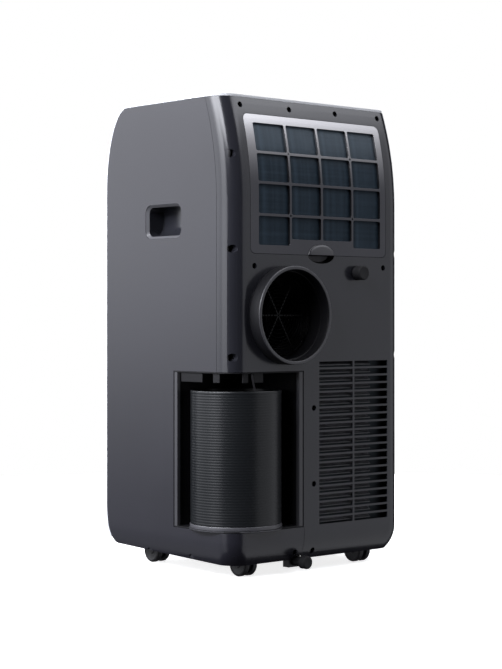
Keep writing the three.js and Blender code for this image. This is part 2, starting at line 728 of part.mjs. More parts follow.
const topFace = body.top + shell.rim;
add('control_panel', controlPanel(), FINISH.glass, 0, panel.y, topFace);
add('display_window', prism('z', roundRect(53.2, 29.2, 3.6), -1.7, 0.4, 3), FINISH.glass, 0, panel.y, topFace);
buttonPlaces().forEach((x, i) => add(`button_${i + 1}`, pushButton(), FINISH.pale, x, panel.y, topFace));
add('outlet_frame', outletFrame().translate([0, 0, -topFace]), FINISH.pale, 0, outlet.y, topFace);
add('louver_flap', louverFlap(), FINISH.pale, 0, outlet.y + outlet.deep / 2, topFace);
vanePlaces().forEach((x, i) => add(`vane_${i + 1}`, vane(), FINISH.black, x, outlet.y, topFace - 25));
add('louver_motor', box(0, 18, -12, 12, -12, 12).add(rod('x', 3, -4, 1, 12)), FINISH.foam,
  outlet.wide / 2 + outlet.wall + 4.5, outlet.y + 15, topFace - 28);

Object.entries(coils).forEach(([name, { x, y, z, half, deep, tall, fins }]) => {
  add(`${name}_coil`, coil(half, deep, tall, fins), FINISH.aluminium, x, y, z);
});

const ductReach = exhaust.x - blowers.condenser.x;
const exhaustMouth = rod('y', 63, 0, BEYOND, 32)
  .translate([ductReach, 0, exhaust.z - blowers.condenser.z]);
const spouts = {
  evaporator: {
    outer: box(-80, 84, -46, 46, 0, 95),
    inner: box(-78, 82, -44, 44, 10, 99),
  },
  condenser: {
    outer: box(0, ductReach + 62, -48, 48, -68, 74),
    inner: box(4, ductReach + 60, -46, 46, -66, 72).add(exhaustMouth),
  },
};
Object.entries(blowers).forEach(([name, fan]) => {
  const { x, y, z, deep, wheel, wheelDeep, motor } = fan;
  add(`${name}_blower_housing`, blowerHousing({ ...fan, spout: spouts[name] }), FINISH.foam, x, y, z);
  add(`${name}_wheel`, blowerWheel(wheel, wheelDeep), FINISH.black, x, y, z);
  add(`${name}_motor`, fanMotor(motor), FINISH.steel, x, y - deep / 2 - 3, z);
});

function midDeck() {
  const { half, front, rear, z, thick, rim } = deck;
  const pan = box(-half, half, front, rear, z, z + rim);
  const room = box(-half + WALL, half - WALL, front + WALL, rear - WALL, z + thick, z + rim + 5);
  return pan.subtract(room).intersect(bodySolid(WALL + 1));
}

function controlHousing() {
  const { x0, x1, y0, y1, z0, z1, wall, open } = controlBox;
  const room = box(x0 + wall, x1 + open, y0 + wall, y1 - wall, z0 + wall, z1 - wall);
  return box(x0, x1, y0, y1, z0, z1).subtract(room);
}

add('mid_deck', midDeck(), FINISH.foam);
add('base_tray', baseTray(), FINISH.steel);
add('compressor', compressorCan(), FINISH.steel, compressor.x, compressor.y, 0);
mountPlaces().forEach(([x, y], i) => add(`compressor_mount_${i + 1}`, rubberMount(), FINISH.rubber, x, y, 52.3));
add('accumulator', accumulator(), FINISH.steel, 12, -216, 84);
add('suction_pipe', pipe(suctionRoute, pipeRadius.suction), FINISH.copper);
add('discharge_pipe', pipe(dischargeRoute, pipeRadius.discharge), FINISH.copper);
add('control_box', controlHousing(), FINISH.foam);

const glandBore = 3.6;
add('cord_gland', turned('x', [
  [glandBore, 10], [gland.radius, 10], [gland.radius, -GAP], [12, -GAP], [12, -3],
  [6, -gland.proud], [glandBore, -gland.proud],
], 12), FINISH.rubber, -body.halfWidth, gland.y, gland.z);

casterPlaces().forEach(([x, y], i) => {
  add(`caster_yoke_${i + 1}`, casterYoke(), FINISH.black, x, y, 0);
  add(`caster_wheels_${i + 1}`, casterWheels(), FINISH.rubber, x, y + caster.trail, caster.radius);
});

// A plain tube round the hose's axis, from its bore to an outer radius and between two heights.
function hoseTube(outer, from, to) {
  return turned('z', [[hose.inner, from], [outer, from], [outer, to], [hose.inner, to]], 32);
}

const ringTop = hose.bottom + hose.ringHeight;
add('exhaust_hose', hoseTube(hose.outer, ringTop + GAP, hose.top), FINISH.hose, hose.x, hose.y, 0);
add('hose_connector', hoseTube(hose.ring, hose.bottom, ringTop), FINISH.pale, hose.x, hose.y, 0);

const clipTop = bay.top - GAP - bay.wall - GAP;
const clipRoute = [[0, 0, 0], [-2, 0, -10], [-5, 0, -20], [-clip.lean, 0, hose.top + 1.6 - clipTop]];
const clipWire = pipe(clipRoute, clip.radius);
add('hose_clip', clipWire, FINISH.steel, clip.x, clip.y, clipTop - 0.8);

export default new THREE.Group().add(unit);
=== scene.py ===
import math

import bmesh
import bpy
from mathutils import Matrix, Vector


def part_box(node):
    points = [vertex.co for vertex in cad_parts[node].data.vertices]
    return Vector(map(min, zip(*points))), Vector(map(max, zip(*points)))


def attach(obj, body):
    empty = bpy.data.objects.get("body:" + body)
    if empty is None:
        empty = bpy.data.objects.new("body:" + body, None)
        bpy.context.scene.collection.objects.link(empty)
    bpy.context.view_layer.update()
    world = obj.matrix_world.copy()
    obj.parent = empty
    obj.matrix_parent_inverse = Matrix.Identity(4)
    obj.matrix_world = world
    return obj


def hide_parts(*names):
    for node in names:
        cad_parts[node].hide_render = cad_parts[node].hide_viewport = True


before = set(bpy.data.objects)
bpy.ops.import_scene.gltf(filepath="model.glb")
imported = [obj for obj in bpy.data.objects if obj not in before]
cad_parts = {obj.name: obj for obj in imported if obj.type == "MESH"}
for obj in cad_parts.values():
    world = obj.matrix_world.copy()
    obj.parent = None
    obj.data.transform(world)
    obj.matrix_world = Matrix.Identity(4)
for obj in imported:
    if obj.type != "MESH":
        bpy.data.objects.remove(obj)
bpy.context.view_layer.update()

mm = 0.001
shellLow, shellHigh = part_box("front_shell")
midX = (shellLow.x + shellHigh.x) / 2   # the middle of the body across its width
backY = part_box("rear_cover")[1].y   # the flat lower part of the rear face
axes = {"x": Vector((1, 0, 0)), "y": Vector((0, 1, 0)), "z": Vector((0, 0, 1))}

# The body's shape, mm, measured from the middle, the rear face and the floor.
body = {
    "half": 183, "depth": 306, "low": 21, "high": 725, "rise": 11, "corner": 30, "cornerSteps": 12,
    "leanTall": 155, "leanRadius": 458, "seam": 34, "gap": 0.6, "tuckTall": 37, "tuckRadius": 63,
    "topDeep": 52, "topTall": 132, "toeDeep": 22, "toeTall": 63, "wall": 2.5,
    "tucks": 8, "leans": 16, "topSteps": 14, "toeSteps": 10, "nearlySame": 0.04,
}
bay = {"x": 36, "y": -136, "low": 71, "high": 311, "wall": 2}


def place(x, y, z):
    return Vector((midX + x * mm, backY + y * mm, z * mm))


def leanAt(z):
    rise = min(max(z - (body["high"] - body["leanTall"]), 0), body["leanTall"] + 5)
    return math.sqrt(body["leanRadius"] ** 2 - rise ** 2) - body["leanRadius"]


def tuckAt(z):
    drop = min(max(body["low"] + body["tuckTall"] - z, 0), body["tuckTall"])
    return body["tuckRadius"] - math.sqrt(body["tuckRadius"] ** 2 - drop ** 2)


def alone(piece):
    bpy.ops.object.select_all(action="DESELECT")
    piece.select_set(True)
    bpy.context.view_layer.objects.active = piece


def applyPlace(piece):
    alone(piece)
    bpy.ops.object.transform_apply(location=True, rotation=True, scale=True)


def named(piece, name):
    piece.name = name
    piece.data.name = name
    return piece


def editOn(piece):
    alone(piece)
    bpy.ops.object.mode_set(mode="EDIT")


def editOff():
    bpy.ops.object.mode_set(mode="OBJECT")


# Selects the vertices, edges or faces of the piece in edit mode that pass a test on their middle.
def pick(piece, kind, test):
    bpy.ops.mesh.select_mode(type=kind)
    bpy.ops.mesh.select_all(action="DESELECT")
    mesh = bmesh.from_edit_mesh(piece.data)
    if kind == "VERT":
        for vert in mesh.verts:
            vert.select_set(test(vert.co))
    elif kind == "EDGE":
        for edge in mesh.edges:
            one, two = edge.verts[0].co, edge.verts[1].co
            edge.select_set(test((one + two) / 2, (two - one).normalized()))
    else:
        for face in mesh.faces:
            face.select_set(test(face.calc_center_median(), face.normal))
    mesh.select_flush_mode()
    bmesh.update_edit_mesh(piece.data)


def slicePlane(co, normal, fill=False, inner=False, outer=False):
    bpy.ops.mesh.select_all(action="SELECT")
    bpy.ops.mesh.bisect(plane_co=co, plane_no=normal, use_fill=fill, clear_inner=inner, clear_outer=outer)


def block(name, x0, x1, y0, y1, z0, z1):
    low, high = place(x0, y0, z0), place(x1, y1, z1)
    bpy.ops.object.select_all(action="DESELECT")
    bpy.ops.mesh.primitive_cube_add(size=1, location=(low + high) / 2)
    piece = named(bpy.context.object, name)
    piece.scale = high - low
    applyPlace(piece)
    return piece


def rod(name, axis, centre, radius, length, sides=48):
    turn = {"x": (0, math.pi / 2, 0), "y": (math.pi / 2, 0, 0), "z": (0, 0, 0)}[axis]
    bpy.ops.object.select_all(action="DESELECT")
    bpy.ops.mesh.primitive_cylinder_add(
        vertices=sides, radius=radius * mm, depth=length * mm, location=place(*centre), rotation=turn)
    piece = named(bpy.context.object, name)
    applyPlace(piece)
    return piece


# A profile of (radius, height) points drawn vertex by vertex and spun about an axis.
def turned(name, axis, centre, profile, steps=64):
    origin, along = place(*centre), axes[axis]
    across = axes["z"] if axis == "x" else axes["x"]
    points = [origin + across * r * mm + along * h * mm for r, h in profile]
    bpy.ops.object.select_all(action="DESELECT")
    bpy.ops.mesh.primitive_plane_add(size=0.01, location=points[0])
    piece = named(bpy.context.object, name)
    applyPlace(piece)
    editOn(piece)
    bpy.ops.mesh.select_mode(type="VERT")
    bpy.ops.mesh.select_all(action="SELECT")
    bpy.ops.mesh.merge(type="CENTER")
    for here, there in zip(points, points[1:]):
        bpy.ops.mesh.extrude_vertices_move(TRANSFORM_OT_translate={"value": there - here})
    bpy.ops.mesh.select_all(action="SELECT")
    bpy.ops.mesh.spin(steps=steps, angle=2 * math.pi, center=origin, axis=along)
    tidyNormals()
    editOff()
    return piece


def tidyNormals():
    bpy.ops.mesh.select_all(action="SELECT")
    bpy.ops.mesh.remove_doubles(threshold=0.00001)
    bpy.ops.mesh.normals_make_consistent(inside=False)


def modify(piece, kind, **settings):
    alone(piece)
    modifier = piece.modifiers.new(kind.lower(), kind)
    for key, value in settings.items():
        setattr(modifier, key, value)
    bpy.ops.object.modifier_apply(modifier=modifier.name)


def thicken(piece, thick):
    modify(piece, "SOLIDIFY", thickness=thick * mm, offset=-1, use_even_offset=True)


def stepUp(piece, count, step):
    modify(piece, "ARRAY", count=count, use_relative_offset=False, use_constant_offset=True,
           constant_offset_displace=step)


def roundPicked(width, segments):
    bpy.ops.mesh.bevel(offset=width * mm, segments=segments, affect="EDGES")


def cutOut(piece, cutter, operation="DIFFERENCE"):
    modify(piece, "BOOLEAN", object=cutter, operation=operation, solver="EXACT")
    bpy.data.objects.remove(cutter)


def joinAll(pieces, name):
    alone(pieces[0])
    for piece in pieces:
        piece.select_set(True)
    bpy.ops.object.join()
    return named(bpy.context.object, name)


def copyTo(piece, name, shift):
    alone(piece)
    bpy.ops.object.duplicate(linked=False)
    twin = named(bpy.context.object, name)
    twin.location = shift
    applyPlace(twin)
    return twin


# Rounds the sharp edges a little and smooths the shading, flat faces staying flat.
def finishEdges(piece, width=0.7, segments=2, sharp=35):
    if width:
        modify(piece, "BEVEL", width=width * mm, segments=segments, limit_method="ANGLE",
               angle_limit=math.radians(sharp), use_clamp_overlap=True)
    alone(piece)
    bpy.ops.object.shade_smooth_by_angle(angle=math.radians(45))
    modify(piece, "WEIGHTED_NORMAL", keep_sharp=True, weight=50)


def fit(piece, bodyName, slotName, material, *nodes):
    piece.data.materials.clear()
    piece.data.materials.append(material)
    if nodes:
        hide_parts(*nodes)
    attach(piece, bodyName)
    return piece


# Gives the faces that pass the test a second material.
def paint(piece, material, test):
    piece.data.materials.append(material)
    piece.active_material_index = len(piece.data.materials) - 1
    editOn(piece)
    pick(piece, "FACE", test)
    bpy.ops.object.material_slot_assign()
    editOff()


camera = {"corner": (1675, 1930, 392), "azimuth": 138.4, "lens": 93.0, "sensor": 36, "shift": -0.0247, "clip": 50}


def intoScene(name, data, spot):
    piece = bpy.data.objects.new(name, data)
    piece.location = spot
    bpy.context.scene.collection.objects.link(piece)
    return piece


def makeCamera():
    data = bpy.data.cameras.new("camera")
    data.lens, data.sensor_width = camera["lens"], camera["sensor"]
    data.shift_y, data.clip_end = camera["shift"], camera["clip"]
    piece = intoScene("camera", data, place(body["half"], 0, 0) + Vector(camera["corner"]) * mm)
    piece.rotation_euler = (math.pi / 2, 0, math.radians(camera["azimuth"]))
    bpy.context.scene.camera = piece


def softbox(name, height, wide, deep, power):
    data = bpy.data.lights.new(name, "AREA")
    data.shape, data.energy = "RECTANGLE", power
    data.size, data.size_y = wide, deep
    intoScene(name, data, (0, 0, height))


# Feeds a node's inputs: a socket is linked to them, any other value is written in.
def feed(tree, node, values):
    for key, value in values.items():
        if isinstance(value, bpy.types.NodeSocket):
            tree.links.new(value, node.inputs[key])
        else:
            node.inputs[key].default_value = value
    return node


def addNode(tree, kind, values=None, **settings):
    node = tree.nodes.new("ShaderNode" + kind)
    for key, value in settings.items():
        setattr(node, key, value)
    return feed(tree, node, values or {})


def newMaterial(name):
    material = bpy.data.materials.new(name)
    material.use_nodes = True
    return material, material.node_tree, material.node_tree.nodes["Principled BSDF"]


def maths(tree, operation, one, two=0):
    return addNode(tree, "Math", {0: one, 1: two}, operation=operation).outputs[0]


def heightOf(tree):
    where = addNode(tree, "TexCoord").outputs["Object"]
    return addNode(tree, "SeparateXYZ", {"Vector": where}).outputs["Z"]


def rising(tree, height, values):
    return addNode(tree, "MapRange", {"Value": height, **values}, interpolation_type="SMOOTHSTEP").outputs["Result"]


def blended(tree, share, under, over):
    return addNode(tree, "Mix", {0: share, 6: under, 7: (*over, 1)}, data_type="RGBA").outputs[2]


def relief(tree, height, strength):
    values = {"Height": height, "Strength": strength, "Distance": texture["relief"]}
    return addNode(tree, "Bump", values).outputs["Normal"]


# A colour ramp through stops, each a place along it and a colour.
def ramped(tree, factor, stops):
    ramp = addNode(tree, "ValToRGB", {"Fac": factor})
    elements = ramp.color_ramp.elements
    elements[0].position, elements[1].position = stops[0][0], stops[-1][0]
    for position, colour in stops[1:-1]:
        elements.new(position)
    for element, (position, colour) in zip(elements, stops):
        element.color = (*colour, 1)
    return ramp.outputs["Color"]


# Upright light cards round the object. Each covers the azimuths between two angles as seen from the rear
# corner, and its brightness follows the stops, which are heights in metres with strengths.
studio = {
    "far": 3.0,
    "cards": {
        "sideCard": {"from": -70, "to": -20, "strength": 0.74},
        "cornerCard": {"from": -20, "to": 9, "strength": 1.15},
        "highCard": {"from": -20, "to": 30, "strength": 1.0},
        "rearCard": {"from": 103, "to": 172, "strength": 1.0},
        "frontCard": {"from": 205, "to": 275, "strength": 1.0},
    },
    "stops": {
        "sideCard": ((-2.4, 0.6), (-0.7, 0.5), (-0.28, 0.45), (-0.14, 0.85), (0.12, 1.55), (0.39, 2.5), (0.59, 3.1),
                     (1.08, 3.45), (1.35, 5.0), (1.7, 12.0), (1.85, 15.0), (2.3, 15.0)),
        "highCard": ((1.6, 2.0), (1.9, 15.0), (3.6, 15.0)),
        "rearCard": ((-2.4, 0.8), (-0.7, 0.7), (0.76, 0.7), (1.24, 0.75), (1.9, 0.95), (2.2, 1.6), (2.65, 3.8),
                     (3.2, 4.2), (3.6, 2.2), (4.2, 1.9)),
        "frontCard": ((0.0, 0.8), (0.8, 1.6), (2.6, 2.2)),
    },
    "top": {"height": 3.2, "wide": 2.4, "deep": 1.8, "power": 42},
    "room": (0.02, 0.018, 0.022),
    "tint": (0.95, 0.965, 1.03),
}


def lightCard(name, values, stops):
    far = studio["far"]
    middle = math.radians((values["from"] + values["to"]) / 2)
    wide = 2 * far * math.tan(math.radians(values["to"] - values["from"]) / 2)
    low, high = stops[0][0], stops[-1][0]
    corner = place(body["half"] - body["corner"], -body["corner"], 0)
    spot = corner + Vector((math.cos(middle), math.sin(middle), 0)) * far
    spot.z = (low + high) / 2
    bpy.ops.object.select_all(action="DESELECT")
    bpy.ops.mesh.primitive_plane_add(size=1, location=spot, rotation=(math.pi / 2, 0, middle - math.pi / 2))
    card = named(bpy.context.object, name)
    card.scale = (wide, high - low, 1)
    applyPlace(card)
    material, tree, shader = newMaterial(name)
    tree.nodes.remove(shader)
    rise = addNode(tree, "MapRange", {"Value": heightOf(tree), "From Min": low, "From Max": high})
    peak = max(strength for height, strength in stops)
    tints = [((height - low) / (high - low), [strength / peak * share for share in studio["tint"]])
             for height, strength in stops]
    glow = addNode(tree, "Emission", {
        "Color": ramped(tree, rise.outputs["Result"], tints), "Strength": peak * values["strength"]})
    feed(tree, tree.nodes["Material Output"], {"Surface": glow.outputs["Emission"]})
    card.data.materials.append(material)
    card.visible_camera = card.visible_shadow = False


def makeStudio():
    stops = studio["stops"]
    for name, values in studio["cards"].items():
        lightCard(name, values, stops.get(name, stops["sideCard"]))
    softbox("topSoftbox", **studio["top"])
    world = bpy.data.worlds.new("studio")
    world.use_nodes = True
    tree = world.node_tree
    shade = feed(tree, tree.nodes["Background"], {"Color": (*studio["room"], 1)})
    white = addNode(tree, "Background", {"Color": (1, 1, 1, 1)})
    seen = addNode(tree, "LightPath").outputs["Is Camera Ray"]
    mix = addNode(tree, "MixShader", {"Fac": seen, 1: shade.outputs["Background"], 2: white.outputs["Background"]})
    feed(tree, tree.nodes["World Output"], {"Surface": mix.outputs["Shader"]})
    bpy.context.scene.world = world
    bpy.context.scene.view_settings.view_transform = "Standard"


floorSpot = {"radius": 1.6, "sides": 96, "drop": 0.0002, "shade": 0.9, "rough": 0.8, "glow": 0.8}


def makeFloor():
    spot, shade = floorSpot, floorSpot["shade"]
    bpy.ops.object.select_all(action="DESELECT")
    bpy.ops.mesh.primitive_circle_add(
        vertices=spot["sides"], radius=spot["radius"], fill_type="NGON", location=(0, 0, -spot["drop"]))
    floor = named(bpy.context.object, "floor")
    applyPlace(floor)
    material, tree, shader = newMaterial("paleFloor")
    feed(tree, shader, {
        "Base Color": (shade, shade, shade, 1), "Roughness": spot["rough"], "Emission Color": (1, 1, 1, 1),
        "Emission Strength": spot["glow"]})
    floor.data.materials.append(material)
    floor.visible_glossy = floor.visible_diffuse = floor.visible_shadow = False


texture = {
    "grain": 1400, "grainDetail": 3, "drift": 6, "driftDetail": 4, "low": 0.3, "high": 0.7, "relief": 0.0003,
    "dust": 90, "dustDetail": 5, "dustTilt": -0.1, "dustColour": (0.42, 0.41, 0.4), "coatRough": 0.12,
}


# Fine moulding grain: a height for a bump and a slow tone that drifts over the piece.
def buildGrainGroup():
    group = bpy.data.node_groups.new("mouldedGrain", "ShaderNodeTree")
    for name in ("Height", "Tone"):
        group.interface.new_socket(name, in_out="OUTPUT", socket_type="NodeSocketFloat")
    leave, where = group.nodes.new("NodeGroupOutput"), addNode(group, "TexCoord").outputs["Object"]
    for name, kind in (("Height", "grain"), ("Tone", "drift")):
        values = {"Vector": where, "Scale": texture[kind], "Detail": texture[kind + "Detail"]}
        feed(group, leave, {name: addNode(group, "TexNoise", values).outputs["Fac"]})
    return group


# Dust and rubbing: more on faces that look up, broken by noise.
def buildDustGroup():
    group = bpy.data.node_groups.new("lightDust", "ShaderNodeTree")
    for name, way in (("Amount", "INPUT"), ("Mask", "OUTPUT")):
        group.interface.new_socket(name, in_out=way, socket_type="NodeSocketFloat")
    entry, leave = group.nodes.new("NodeGroupInput"), group.nodes.new("NodeGroupOutput")
    where = addNode(group, "TexCoord").outputs
    values = {"Vector": where["Object"], "Scale": texture["dust"], "Detail": texture["dustDetail"]}
    noise = addNode(group, "TexNoise", values).outputs["Fac"]
    normal = addNode(group, "SeparateXYZ", {"Vector": where["Normal"]})
    up = addNode(group, "MapRange", {"Value": normal.outputs["Z"], "From Min": texture["dustTilt"]})
    product = maths(group, "MULTIPLY", up.outputs["Result"], noise)
    feed(group, leave, {"Mask": maths(group, "MULTIPLY", product, entry.outputs["Amount"])})
    return group


grainGroup = buildGrainGroup()
dustGroup = buildDustGroup()


# Moulded plastic, rubber or painted metal with grain, a drifting tone and a little dust; where asked, a painted
# highlight lightens the tone towards the top.
def moulded(name, dark, light, rough=(0.35, 0.5), bump=0.15, dust=0.15, metallic=0.0, coat=0.0, specular=0.5,
            paintedHighlight=None):
    material, tree, shader = newMaterial(name)
    surface = addNode(tree, "Group", node_tree=grainGroup).outputs
    specks = addNode(tree, "Group", {"Amount": dust}, node_tree=dustGroup).outputs["Mask"]
    low, high = texture["low"], texture["high"]
    tone = ramped(tree, surface["Tone"], ((low, dark), (high, light)))
    if paintedHighlight:
        # Painted highlight: the tone is blended towards a lighter colour with height, standing in for a reflection.
        share = rising(tree, heightOf(tree), {"From Min": paintedHighlight["low"], "From Max": paintedHighlight["high"]})
        tone = blended(tree, share, tone, paintedHighlight["colour"])
    roughness = addNode(tree, "MapRange", {
        "Value": surface["Tone"], "From Min": low, "From Max": high, "To Min": rough[0], "To Max": rough[1]})
    feed(tree, shader, {
        "Base Color": blended(tree, specks, tone, texture["dustColour"]), "Metallic": metallic,
        "Coat Weight": coat, "Coat Roughness": texture["coatRough"], "Specular IOR Level": specular,
        "Roughness": roughness.outputs["Result"], "Normal": relief(tree, surface["Height"], bump)})
    return material


weave = {
    "rough": 0.42, "specular": 0.2, "tint": (0.7, 0.87, 1.0, 1), "waves": 0.314, "distortion": 0.4, "detail": 3,
    "streaks": {"X": (170, 1, 3), "Z": (3, 1, 170)}, "cross": 0.35, "plaid": 0.75, "barSharp": 12, "bar": 0.22,
    "low": 0.3, "high": 0.95, "relief": 0.25,
}


# Woven net: fine crossed threads under faint plaid streaks, with lighter upright bars showing through.
def wovenNet(name, thread, hole, pitch, barPitch=0, barStart=0, shine=None):
    material, tree, shader = newMaterial(name)
    feed(tree, shader, {
        "Roughness": weave["rough"], "Specular IOR Level": weave["specular"], "Specular Tint": weave["tint"]})
    where = addNode(tree, "TexCoord").outputs["Object"]
    split = addNode(tree, "SeparateXYZ", {"Vector": where}).outputs
    if shine:
        feed(tree, shader, {"Specular IOR Level": rising(tree, split["Z"], shine)})
    waves, streaks = [], []
    for direction, stretch in weave["streaks"].items():
        values = {"Vector": where, "Scale": weave["waves"] / pitch, "Distortion": weave["distortion"]}
        waves.append(addNode(tree, "TexWave", values, bands_direction=direction).outputs["Fac"])
        long = addNode(tree, "Mapping", {"Vector": where, "Scale": stretch}).outputs["Vector"]
        values = {"Vector": long, "Scale": 1, "Detail": weave["detail"]}
        streaks.append(addNode(tree, "TexNoise", values).outputs["Fac"])
    cross = maths(tree, "MAXIMUM", *waves)
    plaid = maths(tree, "MULTIPLY", maths(tree, "ADD", *streaks), 0.5)
    tone = maths(tree, "ADD", maths(tree, "MULTIPLY", cross, weave["cross"]),
                 maths(tree, "MULTIPLY", plaid, weave["plaid"]))
    if barPitch:
        across = maths(tree, "DIVIDE", maths(tree, "SUBTRACT", split["X"], barStart), barPitch)
        off = maths(tree, "ABSOLUTE", maths(tree, "SUBTRACT", maths(tree, "FRACT", across), 0.5))
        bar = maths(tree, "SUBTRACT", 1, maths(tree, "MULTIPLY", off, weave["barSharp"]))
        tone = maths(tree, "ADD", tone, maths(tree, "MULTIPLY", maths(tree, "MAXIMUM", bar, 0), weave["bar"]))
    feed(tree, shader, {
        "Base Color": ramped(tree, tone, ((weave["low"], hole), (weave["high"], thread))),
        "Normal": relief(tree, cross, weave["relief"])})
    return material


# For each finish the dark and the light end of its tone, then what differs from a plain moulding.
mouldings = {
    "sidePlastic": ((0.012, 0.012, 0.016), (0.014, 0.014, 0.019),
        {"rough": (0.2, 0.24), "bump": 0.05, "dust": 0.01}),
    "rearPlastic": ((0.013, 0.0135, 0.017), (0.015, 0.0155, 0.02),
        {"rough": (0.17, 0.21), "bump": 0.05, "dust": 0.01}),
    "paleShell": ((0.62, 0.63, 0.65), (0.63, 0.64, 0.66), {"rough": (0.25, 0.27), "bump": 0.02, "dust": 0.0}),
    # Black plastic of the bay, tabs, spouts and caster forks, also laid on the exhaust collar's wall and sleeve as
    # painted shade.
    "blackPlasticAndPaintedShade": ((0.003, 0.003, 0.004), (0.005, 0.005, 0.006),
        {"rough": (0.5, 0.6), "dust": 0.0, "specular": 0.2}),
    # A lighter copy of the rear plastic for the handle lips: a painted highlight where the rounded lip catches light.
    "paintedHighlightLip": ((0.085, 0.085, 0.092), (0.1, 0.1, 0.108), {"rough": (0.35, 0.4), "dust": 0.0}),
    "bezelPlastic": ((0.03, 0.03, 0.034), (0.036, 0.036, 0.04), {"rough": (0.3, 0.36), "dust": 0.02}),
    "ringPlastic": ((0.05, 0.05, 0.056), (0.06, 0.06, 0.066), {"rough": (0.3, 0.36), "dust": 0.0}),
    # The filter frame gets lighter towards its top: a painted highlight for the reflection of the high light.
    "filterPlastic": ((0.06, 0.06, 0.066), (0.068, 0.068, 0.074),
        {"rough": (0.18, 0.22), "bump": 0.04, "dust": 0.0, "metallic": 0.9,
         "paintedHighlight": {"low": 0.59, "high": 0.72, "colour": (0.4, 0.395, 0.4)}}),
    "hosePlastic": ((0.007, 0.008, 0.009), (0.009, 0.01, 0.011),
        {"rough": (0.28, 0.34), "dust": 0.0, "specular": 0.3}),
    # Near black for the guard wires, and also laid on the thumb bowl as painted shade.
    "guardWireAndPaintedShade": ((0.002, 0.002, 0.002), (0.003, 0.003, 0.003),
        {"rough": (0.3, 0.4), "dust": 0.0, "specular": 0.12}),
    "softRubber": ((0.006, 0.006, 0.007), (0.009, 0.009, 0.01),
        {"rough": (0.6, 0.7), "dust": 0.0, "specular": 0.25}),
    "wheelPlastic": ((0.01, 0.01, 0.011), (0.016, 0.016, 0.018), {"rough": (0.4, 0.6), "dust": 0.12}),
    "panelGloss": ((0.006, 0.006, 0.008), (0.009, 0.009, 0.011),
        {"rough": (0.06, 0.1), "bump": 0.01, "dust": 0.02, "coat": 0.6}),
    "screwSteel": ((0.05, 0.05, 0.055), (0.08, 0.08, 0.085), {"rough": (0.3, 0.45), "metallic": 0.8, "dust": 0.0}),
    "paintedSteel": ((0.015, 0.015, 0.017), (0.022, 0.022, 0.025), {"rough": (0.35, 0.5)}),
    "ductPlastic": ((0.03, 0.03, 0.033), (0.04, 0.04, 0.043), {"rough": (0.6, 0.7), "dust": 0.0}),
    "finAluminium": ((0.45, 0.46, 0.48), (0.6, 0.61, 0.62), {"rough": (0.3, 0.45), "metallic": 0.9}),
    "copperTube": ((0.55, 0.24, 0.12), (0.72, 0.36, 0.2), {"rough": (0.22, 0.4), "metallic": 1.0}),
}
nets = {
    "filterNet": {
        "thread": (0.03, 0.047, 0.066), "hole": (0.001, 0.003, 0.005), "pitch": 0.0012, "barPitch": 0.0663,
        "barStart": midX - 0.1315 + 0.0132,
        "shine": {"From Min": 0.625, "From Max": 0.66, "To Min": 0.1, "To Max": 0.41}},
    # The intake net is near black: painted shade behind the grille slots.
    "intakeNetPaintedShade": {"thread": (0.006, 0.006, 0.007), "hole": (0.001, 0.001, 0.001), "pitch": 0.0016},
}
finish = {name: moulded(name, dark, light, **rest) for name, (dark, light, rest) in mouldings.items()}
finish.update({name: wovenNet(name, **values) for name, values in nets.items()})


# One thin sheet over the sides and rear: round corners, the lean at the top and the tuck at the bottom.
def bodySheet():
    sheet = block("bodySheet", -body["half"], body["half"], -body["depth"], 0, body["low"], body["high"])
    middle = place(0, -body["depth"], 0)
    editOn(sheet)
    corner = place(body["half"], 0, 0)
    pick(sheet, "EDGE", lambda mid, way: abs(way.z) > 0.9 and mid.y > corner.y - mm)
    roundPicked(body["corner"], body["cornerSteps"])
    ovalBevel(sheet, -body["depth"], body["high"], body["topDeep"], body["topTall"], body["topSteps"])
    pick(sheet, "VERT", lambda co: co.z < (body["low"] + 1) * mm and co.y < middle.y + 2 * mm)
    bpy.ops.transform.translate(value=(0, 0, body["rise"] * mm))
    toe = body["low"] + body["rise"]
    ovalBevel(sheet, -body["depth"], toe, body["toeDeep"], body["toeTall"], body["toeSteps"])
    for y in (-body["seam"], -body["seam"] - body["gap"], bay["y"]):
        slicePlane(place(0, y, 0), (0, 1, 0))
    for x in (bay["x"], bay["x"] - 0.7, bay["x"] - 0.7 - body["gap"]):
        slicePlane(place(x, 0, 0), (1, 0, 0))
    for z in (bay["low"], bay["high"]):
        slicePlane(place(0, 0, z), (0, 0, 1))
    for i in range(1, body["tucks"] + 1):
        slicePlane(place(0, 0, body["low"] + body["tuckTall"] * i / body["tucks"]), (0, 0, 1))
    for i in range(body["leans"]):
        slicePlane(place(0, 0, body["high"] - body["leanTall"] * (1 - i / body["leans"])), (0, 0, 1))
    heights = []
    for z in sorted(vert.co.z / mm for vert in bmesh.from_edit_mesh(sheet.data).verts):
        if not heights or z - heights[-1] > body["nearlySame"]:
            heights.append(z)
    behind = place(0, -body["seam"] - body["gap"] - 0.1, 0).y
    for z in heights:
        tuck, lean = tuckAt(z), leanAt(z)

        def level(co):
            return -0.01 < co.z / mm - z < body["nearlySame"]

        if tuck > 0.001:
            pick(sheet, "VERT", level)
            ratio = ((body["half"] - tuck) / body["half"], (body["depth"] - tuck) / body["depth"], 1)
            bpy.ops.transform.resize(value=ratio, center_override=(middle.x, middle.y, z * mm))
        if lean < -0.001:
            pick(sheet, "VERT", lambda co: level(co) and co.y > behind)
            bpy.ops.transform.translate(value=(0, lean * mm, 0))
    pick(sheet, "FACE", lambda mid, normal: not (abs(normal.x) > 0.35 or (normal.y > 0.2 and mid.y > behind - 0.03)))
    bpy.ops.mesh.delete(type="FACE")
    tidyNormals()
    editOff()
    return sheet


